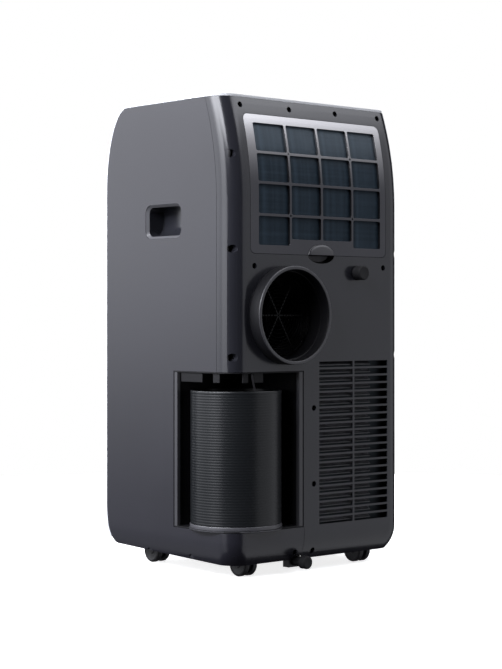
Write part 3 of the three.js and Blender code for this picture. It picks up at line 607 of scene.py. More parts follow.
# A quarter ellipse along the front edge at one height, cut as a round bevel in a squashed space.
def ovalBevel(piece, y, z, deep, tall, segments, margin=12):
    front = place(0, y, z)
    squash = deep / tall
    bpy.ops.mesh.select_all(action="SELECT")
    bpy.ops.transform.resize(value=(1, 1, squash), center_override=front)
    pick(piece, "EDGE", lambda mid, way: (
        abs(way.x) > 0.5 and abs(mid.z - front.z) < mm and mid.y < front.y + margin * mm))
    roundPicked(deep, segments)
    bpy.ops.mesh.select_all(action="SELECT")
    bpy.ops.transform.resize(value=(1, 1, 1 / squash), center_override=front)


def keepFaces(sheet, name, test):
    part = copyTo(sheet, name, (0, 0, 0))
    editOn(part)
    pick(part, "FACE", lambda mid, normal: not test((mid.x - midX) / mm, (mid.y - backY) / mm, mid.z / mm))
    bpy.ops.mesh.delete(type="FACE")
    editOff()
    return part


def aheadOfSeam(y, z):
    return y < leanAt(z) - body["seam"] - body["gap"]


def behindSeam(y, z):
    return y > leanAt(z) - body["seam"]


def inBay(x, y, z):
    return bay["low"] < z < bay["high"] and x > bay["x"] and y > bay["y"]


handle = {
    "y": -161.5, "z": 541.5, "wide": 88, "tall": 53, "radius": 13, "deep": 34, "chamfer": 5, "scoop": 22, "wall": 2,
}


def handleCutter(side):
    face = side * body["half"]
    cutter = block("cutter", min(face - 9, face + 9), max(face - 9, face + 9),
                   handle["y"] - handle["wide"] / 2, handle["y"] + handle["wide"] / 2,
                   handle["z"] - handle["tall"] / 2, handle["z"] + handle["tall"] / 2)
    editOn(cutter)
    pick(cutter, "EDGE", lambda mid, way: abs(way.x) > 0.9)
    roundPicked(handle["radius"], 8)
    editOff()
    return cutter


drains = {
    "upper": {"x": -79, "z": 463, "outer": 9, "bore": 6, "cap": 11.5, "proud": 17, "back": -28},
    "lower": {"x": 40, "z": 18, "outer": 7.5, "bore": 5, "cap": 10, "proud": 14, "back": -26},
}
sideNotches = {"y": (-102, -204), "z": 27, "radius": 5, "deep": 0.6}


def makeSidePanels(sheet):
    def skirt(x, z):
        return x > bay["x"] - 0.6 and z < bay["low"]
    right = keepFaces(sheet, "side_panel_shell_right", lambda x, y, z:
                      x > 0 and (aheadOfSeam(y, z) or skirt(x, z)) and not inBay(x, y, z))
    left = keepFaces(sheet, "side_panel_shell_left", lambda x, y, z: x < 0 and aheadOfSeam(y, z))
    for side, panel, node in ((1, right, "side_panel_right"), (-1, left, "side_panel_left")):
        thicken(panel, body["wall"])
        cutOut(panel, handleCutter(side))
        for y in sideNotches["y"]:
            depth = body["half"] - tuckAt(sideNotches["z"]) - sideNotches["deep"]
            spot = (side * (depth + 30), y, sideNotches["z"])
            cutOut(panel, rod("cutter", "x", spot, sideNotches["radius"], 60, 24))
        lower = drains["lower"]
        if side > 0:
            cutOut(panel, rod("cutter", "y", (lower["x"], 0, lower["z"]), lower["cap"] + 1, 120))
            for x, z in pockets["places"]:
                if x > 30 and z < 40:
                    cutOut(panel, rod("cutter", "y", (x, 0, z), pockets["radius"], 90, 24))
        else:
            cutOut(panel, rod("cutter", "x", (-body["half"], -70, 120), 9.3, 30))
        finishEdges(panel, 0.8)
        fit(panel, "unit", "charcoal_plastic", finish["sidePlastic"], node)


grille = {"left": -148, "right": 3, "low": 71, "high": 326, "slots": 21, "gap": 9, "ribX": -71.7, "rib": 4}
exhaust = {
    "x": 73, "z": 396, "outer": 75, "neck": 70, "bore": 67, "proud": 23, "inside": 24,
    "rings": (64.5, 61.5, 58.5, 55.5, 52, 48, 44, 39, 34, 28, 22, 16, 10), "ringY": -17, "wire": 0.7,
    "spokes": 3, "spokeReach": 65.5,
}
filterPanel = {
    "left": -144, "right": 145.4, "low": 489, "high": 700, "thick": 4, "corner": 9,
    "columns": (-131.5, -71.3, -67.3, -5, -1, 61, 65, 128.4),
    "rows": (502, 545.6, 549.6, 594, 598, 640, 644, 687), "shortLow": 512,
    "crossings": ((63, 642), (-69.3, 642), (63, 547.6), (-69.3, 547.6)), "crossRadius": 1.5, "windowRadius": 3,
    "bands": 24,
}
thumb = {"x": -1, "half": 28, "dome": 17, "scoop": 13}
pockets = {
    "radius": 4.5, "deep": 7,
    "places": (
        (146.4, 713), (46, 713), (-53, 714), (-148, 714), (137.4, 470), (-138.4, 472),
        (14.4, 253), (14.4, 136), (50.3, 33), (13.3, 33),
    ),
    "cornerRadius": 6, "cornerX": 173.5, "cornerY": -15, "cornerZ": (637, 495, 333),
}


# One cutter stepped up each column of slots, all joined.
def slotCutters():
    pitch = (grille["high"] - grille["low"]) / grille["slots"]
    first = grille["low"] + (pitch - grille["gap"]) / 2
    middle, half = grille["ribX"], grille["rib"] / 2
    cutters = []
    for x0, x1 in ((grille["left"], middle - half), (middle + half, grille["right"])):
        cutter = block("cutter", x0, x1, -12, 6, first, first + grille["gap"])
        stepUp(cutter, grille["slots"], (0, 0, pitch * mm))
        cutters.append(cutter)
    return joinAll(cutters, "cutter")


blades = {"left": -112, "right": 2.6, "front": -3.2, "back": -9.5, "low": 3.6, "thick": 1, "netY": -12.5}


# Sloping blades behind the slots, the first shaped in edit mode and stepped up the grille, over a near-black net that
# is painted shade hiding the coil behind.
def makeBlades():
    b = blades
    pitch = (grille["high"] - grille["low"]) / grille["slots"]
    top = grille["low"] + (pitch + grille["gap"]) / 2
    foot = top - grille["gap"] + b["low"]
    blade = block("grille_blades", b["left"], b["right"], b["back"], b["front"], top - b["thick"], top)
    back = place(0, (b["back"] + b["front"]) / 2, 0).y
    editOn(blade)
    pick(blade, "VERT", lambda co: co.y > back)
    bpy.ops.transform.translate(value=(0, 0, (foot - top) * mm))
    editOff()
    finishEdges(blade, 0.2, 1)
    stepUp(blade, grille["slots"], (0, 0, pitch * mm))
    fit(blade, "unit", "charcoal_plastic", finish["bezelPlastic"])
    net = block("intake_net", grille["left"] - 2, grille["right"] + 2, b["netY"] - 0.8, b["netY"],
                grille["low"] - 2, grille["high"] + 2)
    finishEdges(net, 0.2, 1)
    fit(net, "unit", "black_plastic", finish["intakeNetPaintedShade"])


def roundBlock(x0, x1, y0, y1, z0, z1, radius, axis="y", segments=6):
    cutter = block("cutter", x0, x1, y0, y1, z0, z1)
    editOn(cutter)
    pick(cutter, "EDGE", lambda mid, way: abs(way.dot(axes[axis])) > 0.9)
    roundPicked(radius, segments)
    editOff()
    return cutter


def makeRearCover(sheet):
    cover = keepFaces(sheet, "rear_cover_shell", lambda x, y, z: behindSeam(y, z) and not inBay(x, y, z)
                      and not (x > bay["x"] - 1.3 and z < bay["low"]))
    thicken(cover, body["wall"])
    panel = filterPanel
    cutOut(cover, roundBlock(panel["left"] - 0.6, panel["right"] + 0.6, -60, 20, panel["low"] - 0.6,
                             panel["high"] + 0.6, panel["corner"]))
    cutOut(cover, rod("cutter", "y", (exhaust["x"], 0, exhaust["z"]), exhaust["neck"] + 0.5, 60, 96))
    cutOut(cover, slotCutters())
    scoop = rod("cutter", "y", (thumb["x"], 0, 0), thumb["half"], 60, 48)
    scoop.scale.z = thumb["scoop"] / thumb["half"]
    scoop.location.z = panel["low"] * mm
    applyPlace(scoop)
    cutOut(cover, scoop)
    upper, lower = drains["upper"], drains["lower"]
    cutOut(cover, rod("cutter", "y", (upper["x"], 0, upper["z"]), upper["outer"] + 0.5, 60))
    cutOut(cover, rod("cutter", "y", (lower["x"], 0, lower["z"]), lower["cap"] + 1, 120))
    holes = [rod("cutter", "y", (x, 0, z), pockets["radius"], 90, 24)
             for x, z in pockets["places"] if x < 30 or z > 40]
    for side in (1, -1):
        holes += [rod("cutter", "y", (side * pockets["cornerX"], pockets["cornerY"] + 30, z),
                      pockets["cornerRadius"], 60, 32) for z in pockets["cornerZ"]]
    for hole in holes:
        cutOut(cover, hole)
    finishEdges(cover, 0.6, sharp=40)
    fit(cover, "unit", "charcoal_plastic", finish["rearPlastic"], "rear_cover")


# A pocket cup with a cross-head screw at its bottom, modelled once and copied.
def makeScrews():
    deep, radius = pockets["deep"], pockets["radius"]
    cup = turned("screw_cup", "y", (0, 0, 0), [
        (0, -deep), (radius - 0.4, -deep), (radius - 0.1, -deep + 0.6), (radius - 0.1, -0.4), (radius + 0.9, -2.6),
        (radius + 0.9, -deep - 0.8), (0, -deep - 0.8)], 24)
    finishEdges(cup, 0)
    screw = turned("screw_head", "y", (0, 0, 0), [
        (0, -deep + 2.2), (1.6, -deep + 2.1), (2.8, -deep + 1.5), (3.3, -deep + 0.6), (3.3, -deep + 0.1),
        (0, -deep + 0.1)], 24)
    for wide, tall in ((3.4, 0.8), (0.8, 3.4)):
        cutOut(screw, block("cutter", -wide / 2, wide / 2, -deep + 1.1, -deep + 4, -tall / 2, tall / 2))
    finishEdges(screw, 0)
    spots = [(x, leanAt(z) - tuckAt(z), z) for x, z in pockets["places"]]
    for i, (x, y, z) in enumerate(spots, 1):
        shift = place(x, y, z) - place(0, 0, 0)
        fit(copyTo(cup, f"screw_cup_{i}", shift), "unit", "charcoal_plastic", finish["rearPlastic"])
        fit(copyTo(screw, f"screw_head_{i}", shift), "unit", "painted_steel", finish["screwSteel"])
    bpy.data.objects.remove(cup)
    r, low = pockets["cornerRadius"], pockets["cornerY"] - deep
    number = 0
    for side in (1, -1):
        for z in pockets["cornerZ"]:
            number += 1
            spot = (side * pockets["cornerX"], low + leanAt(z), z)
            well = turned(f"corner_cup_{number}", "y", spot, [
                (0, 0), (r - 0.6, 0), (r - 0.1, 0.8), (r - 0.1, 30), (r + 1, 30), (r + 1, -1), (0, -1)], 32)
            rounded = rod("cutter", "z", (side * (body["half"] - body["corner"]), leanAt(z) - body["corner"], z),
                          body["corner"] - 0.4, 40, 128)
            cutOut(well, rounded, "INTERSECT")
            finishEdges(well, 0)
            fit(well, "unit", "charcoal_plastic", finish["rearPlastic"])
            head = copyTo(screw, f"corner_screw_{number}", place(spot[0], spot[1] + deep, z) - place(0, 0, 0))
            fit(head, "unit", "painted_steel", finish["screwSteel"])
    bpy.data.objects.remove(screw)


shell = {"rim": 4.5, "front": 4, "crown": 10, "thick": 4.2, "columns": 20, "toeRows": 7, "steps": 18, "low": 33}


def makeFrontShell():
    top = body["high"] + shell["rim"]
    front = -body["depth"] - shell["front"]
    piece = block("front_shell_skin", -body["half"], body["half"], front, leanAt(top) - 0.3, body["low"], top)
    editOn(piece)
    edge = place(0, front, 0).y
    pick(piece, "EDGE", lambda mid, way: abs(way.z) > 0.9 and mid.y > edge + 0.05)
    roundPicked(body["corner"], body["cornerSteps"])
    for i in range(1, shell["columns"]):
        slicePlane(place(-body["half"] + 2 * body["half"] * i / shell["columns"], 0, 0), (1, 0, 0))
    ovalBevel(piece, front, top, body["topDeep"] + shell["front"], body["topTall"] + shell["rim"], shell["steps"], 1)
    for i in range(1, shell["toeRows"] + 1):
        slicePlane(place(0, 0, body["low"] + body["rise"] + body["toeTall"] * i / shell["toeRows"]), (0, 0, 1))
    bowFront(piece)
    slicePlane(place(0, 0, shell["low"]), (0, 0, 1), inner=True)
    flat = place(0, 0, top).z
    pick(piece, "FACE", lambda mid, normal: abs(normal.x) > 0.8 or normal.z < -0.6 or (
        normal.y > 0.05) or (abs(normal.x) > 0.2 and mid.z < flat - mm and mid.y > edge + 0.1))
    bpy.ops.mesh.delete(type="FACE")
    tidyNormals()
    editOff()
    thicken(piece, shell["thick"])
    wide, deep = outlet["wide"] / 2 + outlet["wall"] + 0.4, outlet["deep"] / 2 + outlet["wall"] + 0.4
    cutOut(piece, roundBlock(-wide, wide, outlet["y"] - deep, outlet["y"] + deep, top - 20, top + 20, 3, "z"))
    wide, deep = control["wide"] / 2 + 0.4, control["deep"] / 2 + 0.4
    cutOut(piece, roundBlock(-wide, wide, control["y"] - deep, control["y"] + deep, top - 20, top + 20,
                             control["radius"], "z"))
    finishEdges(piece, 1.0, 3, sharp=40)
    fit(piece, "unit", "pale_plastic", finish["paleShell"], "front_shell")


# Bows the front outwards, most in the middle, and draws the toe in.
def bowFront(piece):
    mesh = bmesh.from_edit_mesh(piece.data)
    topStart = body["high"] - body["topTall"]
    toeEnd = body["low"] + body["rise"] + body["toeTall"]
    for vert in mesh.verts:
        x, y, z = (vert.co.x - midX) / mm, (vert.co.y - backY) / mm, vert.co.z / mm
        if y > -body["depth"] + body["topDeep"] - 0.5:
            continue
        share = math.sqrt(max(0, 1 - (max(z - topStart, 0) / (body["topTall"] + shell["rim"])) ** 2))
        drop = min(max(toeEnd - z, 0) / (body["toeTall"] + shell["front"]), 1)
        toe = math.sqrt(1 - drop ** 2)
        vert.co.y += ((body["toeDeep"] + shell["front"]) * (1 - toe) - shell["crown"] * share * toe
                      * (1 - (x / body["half"]) ** 2)) * mm
    bmesh.update_edit_mesh(piece.data)


def makeBayLiner():
    w, reach = bay["wall"], body["half"]
    room = block("bay_liner_shell", bay["x"] + 0.4 + w, reach - 0.4, bay["y"] + 0.4 + w, -0.4,
                 bay["low"] + 0.3 + w, bay["high"] - 0.3 - w)
    editOn(room)
    outer = place(reach, 0, 0)
    pick(room, "EDGE", lambda mid, way: abs(way.z) > 0.9 and mid.x > outer.x - mm and mid.y > outer.y - mm)
    roundPicked(body["corner"], 8)
    pick(room, "EDGE", lambda mid, way: abs(way.z) > 0.9 and mid.x < outer.x - 0.1 and mid.y < outer.y - 0.1)
    roundPicked(14, 6)
    pick(room, "FACE", lambda mid, normal: abs(normal.z) < 0.5 and (normal.x > 0.01 or normal.y > 0.01)
         and (mid.x > outer.x - 0.04 or mid.y > outer.y - 0.04))
    bpy.ops.mesh.delete(type="FACE")
    bpy.ops.mesh.select_all(action="SELECT")
    bpy.ops.mesh.flip_normals()
    editOff()
    thicken(room, w)
    finishEdges(room, 0.5)
    fit(room, "unit", "black_plastic", finish["blackPlasticAndPaintedShade"], "bay_liner")
    ledge = turned("bay_ledge", "z", (hose["x"], hose["y"], bay["low"] + 0.3), [
        (0, 0), (hose["ring"] + 1.4, 0), (hose["ring"] + 2, 0.6), (hose["ring"] + 2, 1.5), (hose["ring"] + 1.4, 2),
        (hose["ring"] - 6, 2.05), (0, 2.05)], 96)
    editOn(ledge)
    slicePlane(place(bay["x"] + 3, 0, 0), (1, 0, 0), fill=True, inner=True)
    slicePlane(place(0, bay["y"] + 3, 0), (0, 1, 0), fill=True, inner=True)
    editOff()
    finishEdges(ledge, 0)
    fit(ledge, "unit", "black_plastic", finish["bezelPlastic"])
    high = bay["high"] - 0.3 - w
    strips = [
        block("strip", reach - 7, reach - 0.5, bay["y"] + 0.5, bay["y"] + 8.5, bay["low"] + 0.4, bay["high"] - 0.4),
        block("strip", bay["x"] + 0.5, bay["x"] + 9.5, -7, -0.5, bay["low"] + 0.4, bay["high"] - 0.4),
    ]
    tabs = [
        (reach - 5, reach - 3, -121, -71), (reach - 5, reach - 3, -46, -31), (117, 137, -5, -3), (147, 158, -5, -3),
    ]
    tabs = joinAll([block("tab", *tab, high - 14, high + 0.5) for tab in tabs], "bay_tabs")
    finishEdges(tabs, 0.6, 2)
    fit(tabs, "unit", "black_plastic", finish["blackPlasticAndPaintedShade"])
    trim = joinAll(strips, "bay_trim")
    finishEdges(trim, 0.9, 3)
    fit(trim, "unit", "charcoal_plastic", finish["bezelPlastic"])


hose = {"x": 121, "y": -61, "outer": 70, "wall": 2.4, "low": 73.6, "high": 282, "ring": 70.5, "ringTall": 6,
        "ridges": 48, "ridgeDeep": 0.25, "cuff": 5, "ringBore": 62.2}


def makeHose():
    low = hose["low"] + hose["ringTall"] + 0.3
    high = hose["high"] - hose["cuff"]
    pitch = (high - low) / hose["ridges"]
    radius, deep = hose["outer"], hose["ridgeDeep"]
    outer = []
    for i in range(hose["ridges"]):
        for share, drop in ((0, 1), (0.22, 0.35), (0.42, 0), (0.62, 0), (0.84, 0.45)):
            outer.append((radius - 0.3 - deep * drop, low + pitch * (i + share)))
    wall = hose["wall"] + deep
    cuff = [(radius - 0.3 - deep, high), (radius - 0.4, high + 0.6), (radius, high + 1.2), (radius, hose["high"] - 1),
            (radius - 1, hose["high"]), (radius - wall + 0.6, hose["high"]), (radius - wall, hose["high"] - 0.8)]
    profile = outer + cuff + [(radius - wall, low), outer[0]]
    tube = turned("hose_ribbed", "z", (hose["x"], hose["y"], 0), profile, 96)
    finishEdges(tube, 0)
    fit(tube, "hose", "hose_plastic", finish["hosePlastic"], "exhaust_hose")
    ring, tall, base, bore = hose["ring"], hose["ringTall"], hose["low"], hose["ringBore"]
    collar = turned("hose_end_ring", "z", (hose["x"], hose["y"], base), [
        (bore, 0.4), (bore + 0.4, 0), (ring - 0.8, 0), (ring, 0.8), (ring, tall - 1), (ring - 0.7, tall),
        (bore + 0.4, tall), (bore, tall - 0.4), (bore, 0.4)], 96)
    finishEdges(collar, 0)
    fit(collar, "hose", "pale_plastic", finish["ringPlastic"], "hose_connector")


def makeFilter():
    panel = filterPanel
    sheet = roundBlock(panel["left"], panel["right"], -panel["thick"], 0, panel["low"], panel["high"],
                       panel["corner"])
    named(sheet, "filter_frame_panel")
    for column in range(4):
        for row in range(4):
            x0, x1 = panel["columns"][2 * column], panel["columns"][2 * column + 1]
            z0 = panel["shortLow"] if row == 0 and column in (1, 2) else panel["rows"][2 * row]
            cutOut(sheet, roundBlock(x0, x1, -30, 10, z0, panel["rows"][2 * row + 1], panel["windowRadius"],
                                     segments=4))
    for x, z in panel["crossings"]:
        cutOut(sheet, rod("cutter", "y", (x, 0, z), panel["crossRadius"], 60, 16))
    dome = rod("cutter", "y", (thumb["x"], 5 - 1.6, 0), thumb["half"], 10, 64)
    dome.scale.z = thumb["dome"] / thumb["half"]
    dome.location.z = panel["low"] * mm
    applyPlace(dome)
    cutOut(sheet, dome)
    followLean(sheet, panel["bands"])
    finishEdges(sheet, 0.7, 2)
    fit(sheet, "filter_panel", "filter_plastic", finish["filterPlastic"], "filter_frame")
    half = thumb["half"]
    hood = turned("thumb_hood", "y", (thumb["x"], 0, 0), [
        (half - 0.4, -2.6), (half - 0.4, 0.3), (half - 1.2, 1.4), (half - 3.4, 2.6), (half - 8, 3.6), (0, 4.2),
        (0, 2.8), (half - 8, 2.2), (half - 3.6, 1.2), (half - 2, 0.2), (half - 2, -2.6), (half - 0.4, -2.6)], 96)
    squashTo(hood, thumb["dome"] / half, panel["low"])
    editOn(hood)
    slicePlane(place(0, 0, panel["low"] + 0.4), (0, 0, 1), fill=True, inner=True)
    editOff()
    finishEdges(hood, 0)
    fit(hood, "filter_panel", "filter_plastic", finish["bezelPlastic"])
    bowl = turned("thumb_bowl", "y", (thumb["x"], 0, 0), [
        (half + 1.5, -2.7), (half - 0.3, -2.7), (half - 0.3, -0.5), (half - 0.8, -0.3), (half - 1.6, -2.4),
        (half - 5, -7), (half - 11, -10.4), (0, -12), (0, -13.2), (half - 10, -11.8), (half - 3, -7.8),
        (half + 1.5, -3.6), (half + 1.5, -2.7)], 96)
    squashTo(bowl, thumb["scoop"] / half, panel["low"])
    editOn(bowl)
    slicePlane(place(0, 0, panel["low"] - 0.7), (0, 0, 1), fill=True, outer=True)
    editOff()
    finishEdges(bowl, 0)
    # The finger bowl gets the near-black wire finish rather than the cover's plastic: painted shade in the recess.
    fit(bowl, "unit", "charcoal_plastic", finish["guardWireAndPaintedShade"])
    inner = panel["thick"] + 0.3
    net = block("filter_net", panel["left"] + 6, panel["right"] - 6, -inner - 0.8, -inner,
                panel["low"] + 8, panel["high"] - 8)
    followLean(net, panel["bands"])
    finishEdges(net, 0)
    fit(net, "filter_panel", "filter_mesh", finish["filterNet"], "filter_mesh")


# Flattens a round shape drawn at floor level and lifts it to its height.
def squashTo(piece, ratio, z):
    piece.scale.z = ratio
    piece.location.z = z * mm
    applyPlace(piece)


# Cuts a flat upright piece into bands and lays each one along the leaning rear face.
def followLean(piece, bands):
    start, end = body["high"] - body["leanTall"], body["high"]
    editOn(piece)
    for i in range(bands):
        slicePlane(place(0, 0, start + (end - start) * i / bands), (0, 0, 1))
    mesh = bmesh.from_edit_mesh(piece.data)
    for vert in mesh.verts:
        vert.co.y += leanAt(vert.co.z / mm) * mm
    bmesh.update_edit_mesh(piece.data)
    editOff()


def makeExhaust():
    e = exhaust
    collar = turned("exhaust_collar_ring", "y", (e["x"], 0, e["z"]), [
        (e["bore"], -e["inside"]), (e["neck"], -e["inside"]), (e["neck"], 0.4), (e["outer"] - 0.8, 0.4),
        (e["outer"], 1.2), (e["outer"], e["proud"] - 1.4), (e["outer"] - 0.5, e["proud"] - 0.4),
        (e["outer"] - 1.4, e["proud"]), (e["outer"] - 4.4, e["proud"]), (e["outer"] - 5.3, e["proud"] - 0.5),
        (e["outer"] - 5.7, e["proud"] - 1.6), (e["outer"] - 5.9, 6), (e["bore"], 5), (e["bore"], 2.4),
        (e["bore"] + 1, 1.6), (e["bore"] + 1, -e["inside"] + 1), (e["bore"], -e["inside"])], 96)
    finishEdges(collar, 0)
    fit(collar, "unit", "charcoal_plastic", finish["bezelPlastic"], "exhaust_collar")
    # The collar's outer side wall gets the near-black plastic: painted shade on the wall.
    wallEnd = place(0, e["proud"] - 1, 0).y
    paint(collar, finish["blackPlasticAndPaintedShade"], lambda mid, normal: abs(normal.y) < 0.5 and mid.y < wallEnd)
    # A near-black sleeve inside the collar's mouth: painted shade that keeps the inside dark.
    shadeSleeve = turned("exhaust_shade_sleeve", "y", (e["x"], 0, e["z"]), [
        (e["outer"] - 6, 6.2), (e["outer"] - 5.8, e["proud"] - 2.2), (e["outer"] - 6.4, e["proud"] - 1.8),
        (e["outer"] - 6.8, e["proud"] - 2.4), (e["outer"] - 7, 7), (e["bore"] - 0.4, 5.9), (e["bore"] - 0.2, 5.2),
        (e["outer"] - 6.2, 6), (e["outer"] - 6, 6.2)], 96)
    finishEdges(shadeSleeve, 0)
    fit(shadeSleeve, "unit", "black_plastic", finish["blackPlasticAndPaintedShade"])
    rings, wire, reach = [], e["wire"], e["spokeReach"]
    for radius in e["rings"]:
        rings.append(turned("ring", "y", (e["x"], e["ringY"], e["z"]), [
            (radius - wire, 0), (radius, wire), (radius + wire, 0), (radius, -wire), (radius - wire, 0)], 64))
    for turn in range(e["spokes"]):
        spoke = block("spoke", e["x"] - reach, e["x"] + reach, -18.4, -17.4, e["z"] - 1, e["z"] + 1)
        editOn(spoke)
        bpy.ops.mesh.select_all(action="SELECT")
        bpy.ops.transform.rotate(value=turn * math.pi / e["spokes"], orient_axis="Y",
                                 center_override=place(e["x"], -18, e["z"]))
        editOff()
        rings.append(spoke)
    guard = joinAll(rings, "exhaust_guard_wires")
    finishEdges(guard, 0)
    # Black guard wire, made near black as painted shade inside the mouth.
    fit(guard, "unit", "black_plastic", finish["guardWireAndPaintedShade"], "exhaust_guard")


def makeDrains():
    for name, d in drains.items():
        back = d["back"]
        spout = turned(f"drain_spout_{name}_barb", "y", (d["x"], 0, d["z"]), [
            (d["bore"], back), (d["outer"], back), (d["outer"], 0.6), (d["cap"] - 0.4, 0.6), (d["cap"], 1),
            (d["cap"], 1.7), (d["cap"] - 0.3, 2), (d["outer"], 2), (d["outer"], d["proud"] - 5),
            (d["outer"] - 0.8, d["proud"] - 4), (d["bore"], d["proud"] - 4), (d["bore"], back)], 40)
        finishEdges(spout, 0)
        fit(spout, "unit", "black_plastic", finish["blackPlasticAndPaintedShade"], f"drain_spout_{name}")
        p, cap = d["proud"], d["cap"]
        plug = turned(f"drain_cap_{name}", "y", (d["x"], 0, d["z"]), [
            (0, p - 0.6), (cap - 4, p - 0.5), (cap - 2.6, p), (cap - 1.2, p - 0.3), (cap - 0.3, p - 1.2),
            (cap, p - 2.6), (cap, p - 5), (cap - 0.6, p - 5.5), (cap - 0.6, 4.6), (cap, 4), (cap, 2.8),
            (cap - 0.4, 2.4), (d["outer"] + 0.3, 2.4), (d["outer"] + 0.3, p - 3), (0, p - 3)], 40)
        finishEdges(plug, 0)
        fit(plug, f"{name}_plug", "rubber", finish["softRubber"], f"drain_plug_{name}")


def makeHandles():
    h, reach = handle, body["half"]
    inset = h["chamfer"] * 0.8
    cup = block("handle_scoop", reach - h["deep"], reach - h["chamfer"], h["y"] - h["wide"] / 2 + inset,
                h["y"] + h["wide"] / 2 - inset, h["z"] - h["tall"] / 2 + inset, h["z"] + h["tall"] / 2 - inset)
    mouth, back = place(reach - h["chamfer"], 0, 0).x, place(reach - h["deep"], 0, 0).x
    centre = place(reach - h["chamfer"], h["y"], h["z"])
    editOn(cup)
    pick(cup, "EDGE", lambda mid, way: mid.x < back + mm and abs(way.y) > 0.9 and mid.z < centre.z)
    roundPicked(h["scoop"], 10)
    pick(cup, "EDGE", lambda mid, way: abs(way.x) > 0.9)
    roundPicked(h["radius"] - inset, 8)
    pick(cup, "FACE", lambda mid, normal: normal.x > 0.9)
    bpy.ops.mesh.delete(type="FACE")
    pick(cup, "EDGE", lambda mid, way: mid.x > mouth - 0.1 * mm)
    bpy.ops.mesh.extrude_region_move(TRANSFORM_OT_translate={"value": ((h["chamfer"] - 0.5) * mm, 0, 0)})
    grow = (1, (h["wide"] - 0.8) / (h["wide"] - 2 * inset), (h["tall"] - 0.8) / (h["tall"] - 2 * inset))
    bpy.ops.transform.resize(value=grow, center_override=centre)
    bpy.ops.mesh.select_all(action="SELECT")
    bpy.ops.mesh.normals_make_consistent(inside=True)
    editOff()
    modify(cup, "BEVEL", width=2.4 * mm, segments=4, limit_method="ANGLE", angle_limit=math.radians(30))
    modify(cup, "SOLIDIFY", thickness=h["wall"] * mm, offset=-1)
    finishEdges(cup, 0.4)
    twin = copyTo(cup, "handle_scoop_left", (0, 0, 0))
    editOn(twin)
    bpy.ops.mesh.select_all(action="SELECT")
    bpy.ops.transform.resize(value=(-1, 1, 1), center_override=(midX, 0, 0))
    bpy.ops.mesh.flip_normals()
    editOff()
    for side, piece, node in ((1, cup, "handle_cup_right"), (-1, twin, "handle_cup_left")):
        fit(piece, "unit", "charcoal_plastic", finish["rearPlastic"], node)
        face = place(side * (reach - h["chamfer"] + 0.3), 0, 0).x
        # The lip round each handle opening gets the lighter copy: a painted highlight.
        paint(piece, finish["paintedHighlightLip"], lambda mid, normal: side * (mid.x - face) > 0)


control = {"y": -84, "wide": 210, "deep": 56, "thick": 8, "radius": 14, "button": 7, "pitch": 26,
           "spread": 16, "window": (27, 15), "lens": (26.6, 14.6)}
outlet = {"y": -205, "wide": 250, "deep": 66, "wall": 2.5, "flap": 3, "grip": 22}
topZ = body["high"] + shell["rim"]


def makeControls():
    c = control
    plate = roundBlock(-c["wide"] / 2, c["wide"] / 2, c["y"] - c["deep"] / 2, c["y"] + c["deep"] / 2,
                       topZ - c["thick"], topZ + 0.6, c["radius"], "z", 8)
    named(plate, "control_plate")
    places = [step * c["pitch"] + math.copysign(c["spread"], step) for step in (-2, -1, 1, 2)]
    for x in places:
        cutOut(plate, rod("cutter", "z", (x, c["y"], topZ), c["button"] + 0.3, 40))
    wide, deep = c["window"]
    cutOut(plate, roundBlock(-wide, wide, c["y"] - deep, c["y"] + deep, topZ - 2, topZ + 5, 4, "z"))
    finishEdges(plate, 0.5, 3)
    fit(plate, "unit", "panel_gloss", finish["panelGloss"], "control_panel")
    wide, deep = c["lens"]
    window = roundBlock(-wide, wide, c["y"] - deep, c["y"] + deep, topZ - 1.7, topZ + 0.4, 3.6, "z")
    named(window, "display_lens")
    finishEdges(window, 0.4)
    fit(window, "unit", "panel_gloss", finish["panelGloss"], "display_window")
    for i, x in enumerate(places, 1):
        r = c["button"]
        button = turned(f"push_button_{i}", "z", (x, c["y"], topZ), [
            (0, -9), (r, -9), (r, 1.1), (r - 0.3, 1.7), (r - 0.9, 2), (r - 2, 1.9), (r - 4, 1.6), (0, 1.4)], 40)
        finishEdges(button, 0)
        fit(button, f"button_{i}", "pale_plastic", finish["paleShell"], f"button_{i}")


def makeOutlet():
    o = outlet
    front, back, half = o["y"] - o["deep"] / 2, o["y"] + o["deep"] / 2, o["wide"] / 2 - 0.8
    flap = roundBlock(-half, half, front + 1.6, back - 0.3, topZ - o["flap"], topZ, 1.5, "z", 4)
    named(flap, "outlet_flap")
    cutOut(flap, roundBlock(-o["grip"], o["grip"], front - 3, front + 5, topZ - 10, topZ + 10, 3, "z"))
    finishEdges(flap, 0.8, 3)
    fit(flap, "louver", "pale_plastic", finish["paleShell"], "louver_flap")


caster = {"x": 122, "rear": -52, "front": -262, "radius": 19, "wheel": 9, "web": 7, "trail": 9, "axle": 2.5,
          "play": 0.12}


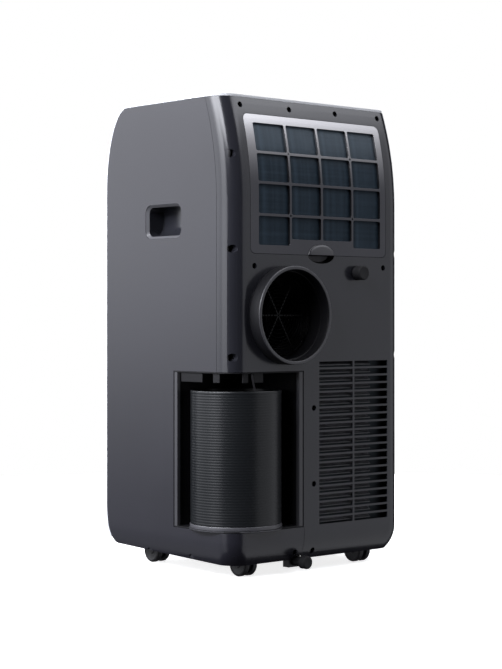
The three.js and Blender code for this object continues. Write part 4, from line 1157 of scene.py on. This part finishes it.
def makeCasters():
    c = caster
    near = c["web"] / 2 + 0.4
    far = near + c["wheel"]
    r = c["radius"]
    spots = [(c["x"], c["rear"]), (-c["x"], c["rear"]), (c["x"], c["front"]), (-c["x"], c["front"])]
    profile = [(0, near), (r - 1, near), (r - 0.2, near + 0.6), (r, near + 1.4), (r, near + 3), (r - 0.5, near + 3.4),
               (r - 0.5, near + 4), (r, near + 4.4), (r, far - 2.4), (r - 0.8, far - 1), (r - 2.4, far - 0.2),
               (r - 4, far), (r - 5, far - 0.9), (6, far - 1.6), (5, far - 0.4), (0, far - 0.4)]
    for i, (x, y) in enumerate(spots, 1):
        hub = (x, y + c["trail"], r)
        parts = [turned("disc", "x", hub, profile, 48), turned("disc", "x", hub, [(a, -b) for a, b in profile], 48),
                 rod("disc", "x", hub, c["axle"], 2 * near + 2, 24)]
        wheels = joinAll(parts, f"caster_tyres_{i}")
        finishEdges(wheels, 0)
        fit(wheels, f"wheels_{i}", "caster_wheel", finish["wheelPlastic"], f"caster_wheels_{i}")
        web = rod("web", "x", hub, r - 4, c["web"], 40)
        post = block("web", x - c["web"] / 2, x + c["web"] / 2, y - 5, y + c["trail"], r, 39)
        hood = turned("web", "z", (x, y, 38.6), [(0, 0), (12.4, 0), (13, 0.6), (13, 2.2), (12.4, 2.8), (5, 2.8),
                                                 (4, 3.4), (4, 15), (3.4, 15.6), (0, 15.6)], 32)
        cutOut(web, post, "UNION")
        cutOut(web, rod("cutter", "x", hub, c["axle"] + c["play"], 30, 24))
        yoke = joinAll([web, hood], f"caster_fork_{i}")
        finishEdges(yoke, 0.4)
        fit(yoke, f"caster_{i}", "black_plastic", finish["blackPlasticAndPaintedShade"], f"caster_yoke_{i}")


kept = {
    "hosePlastic": ("vane_1", "vane_2", "vane_3", "vane_4", "evaporator_wheel", "condenser_wheel"),
    "ductPlastic": ("evaporator_blower_housing", "condenser_blower_housing", "mid_deck", "control_box", "louver_motor"),
    "finAluminium": ("evaporator_coil", "condenser_coil"),
    "copperTube": ("suction_pipe", "discharge_pipe"),
    "paintedSteel": ("base_tray", "compressor", "accumulator", "evaporator_motor", "condenser_motor"),
    "softRubber": ("compressor_mount_1", "compressor_mount_2", "compressor_mount_3", "cord_gland"),
    "paleShell": ("outlet_frame",),
    "screwSteel": ("hose_clip",),
}


def dressKept():
    for name, nodes in kept.items():
        for node in nodes:
            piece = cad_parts[node]
            piece.data.materials.clear()
            piece.data.materials.append(finish[name])


makeCamera()
makeStudio()
makeFloor()
print("stage ready")
sheet = bodySheet()
makeSidePanels(sheet)
makeRearCover(sheet)
bpy.data.objects.remove(sheet)
print("dark body ready")
makeScrews()
makeBlades()
makeFrontShell()
print("front shell ready")
makeBayLiner()
makeHose()
print("hose bay ready")
makeFilter()
makeExhaust()
makeDrains()
makeHandles()
print("rear fittings ready")
makeControls()
makeOutlet()
makeCasters()
dressKept()
print("all pieces ready")
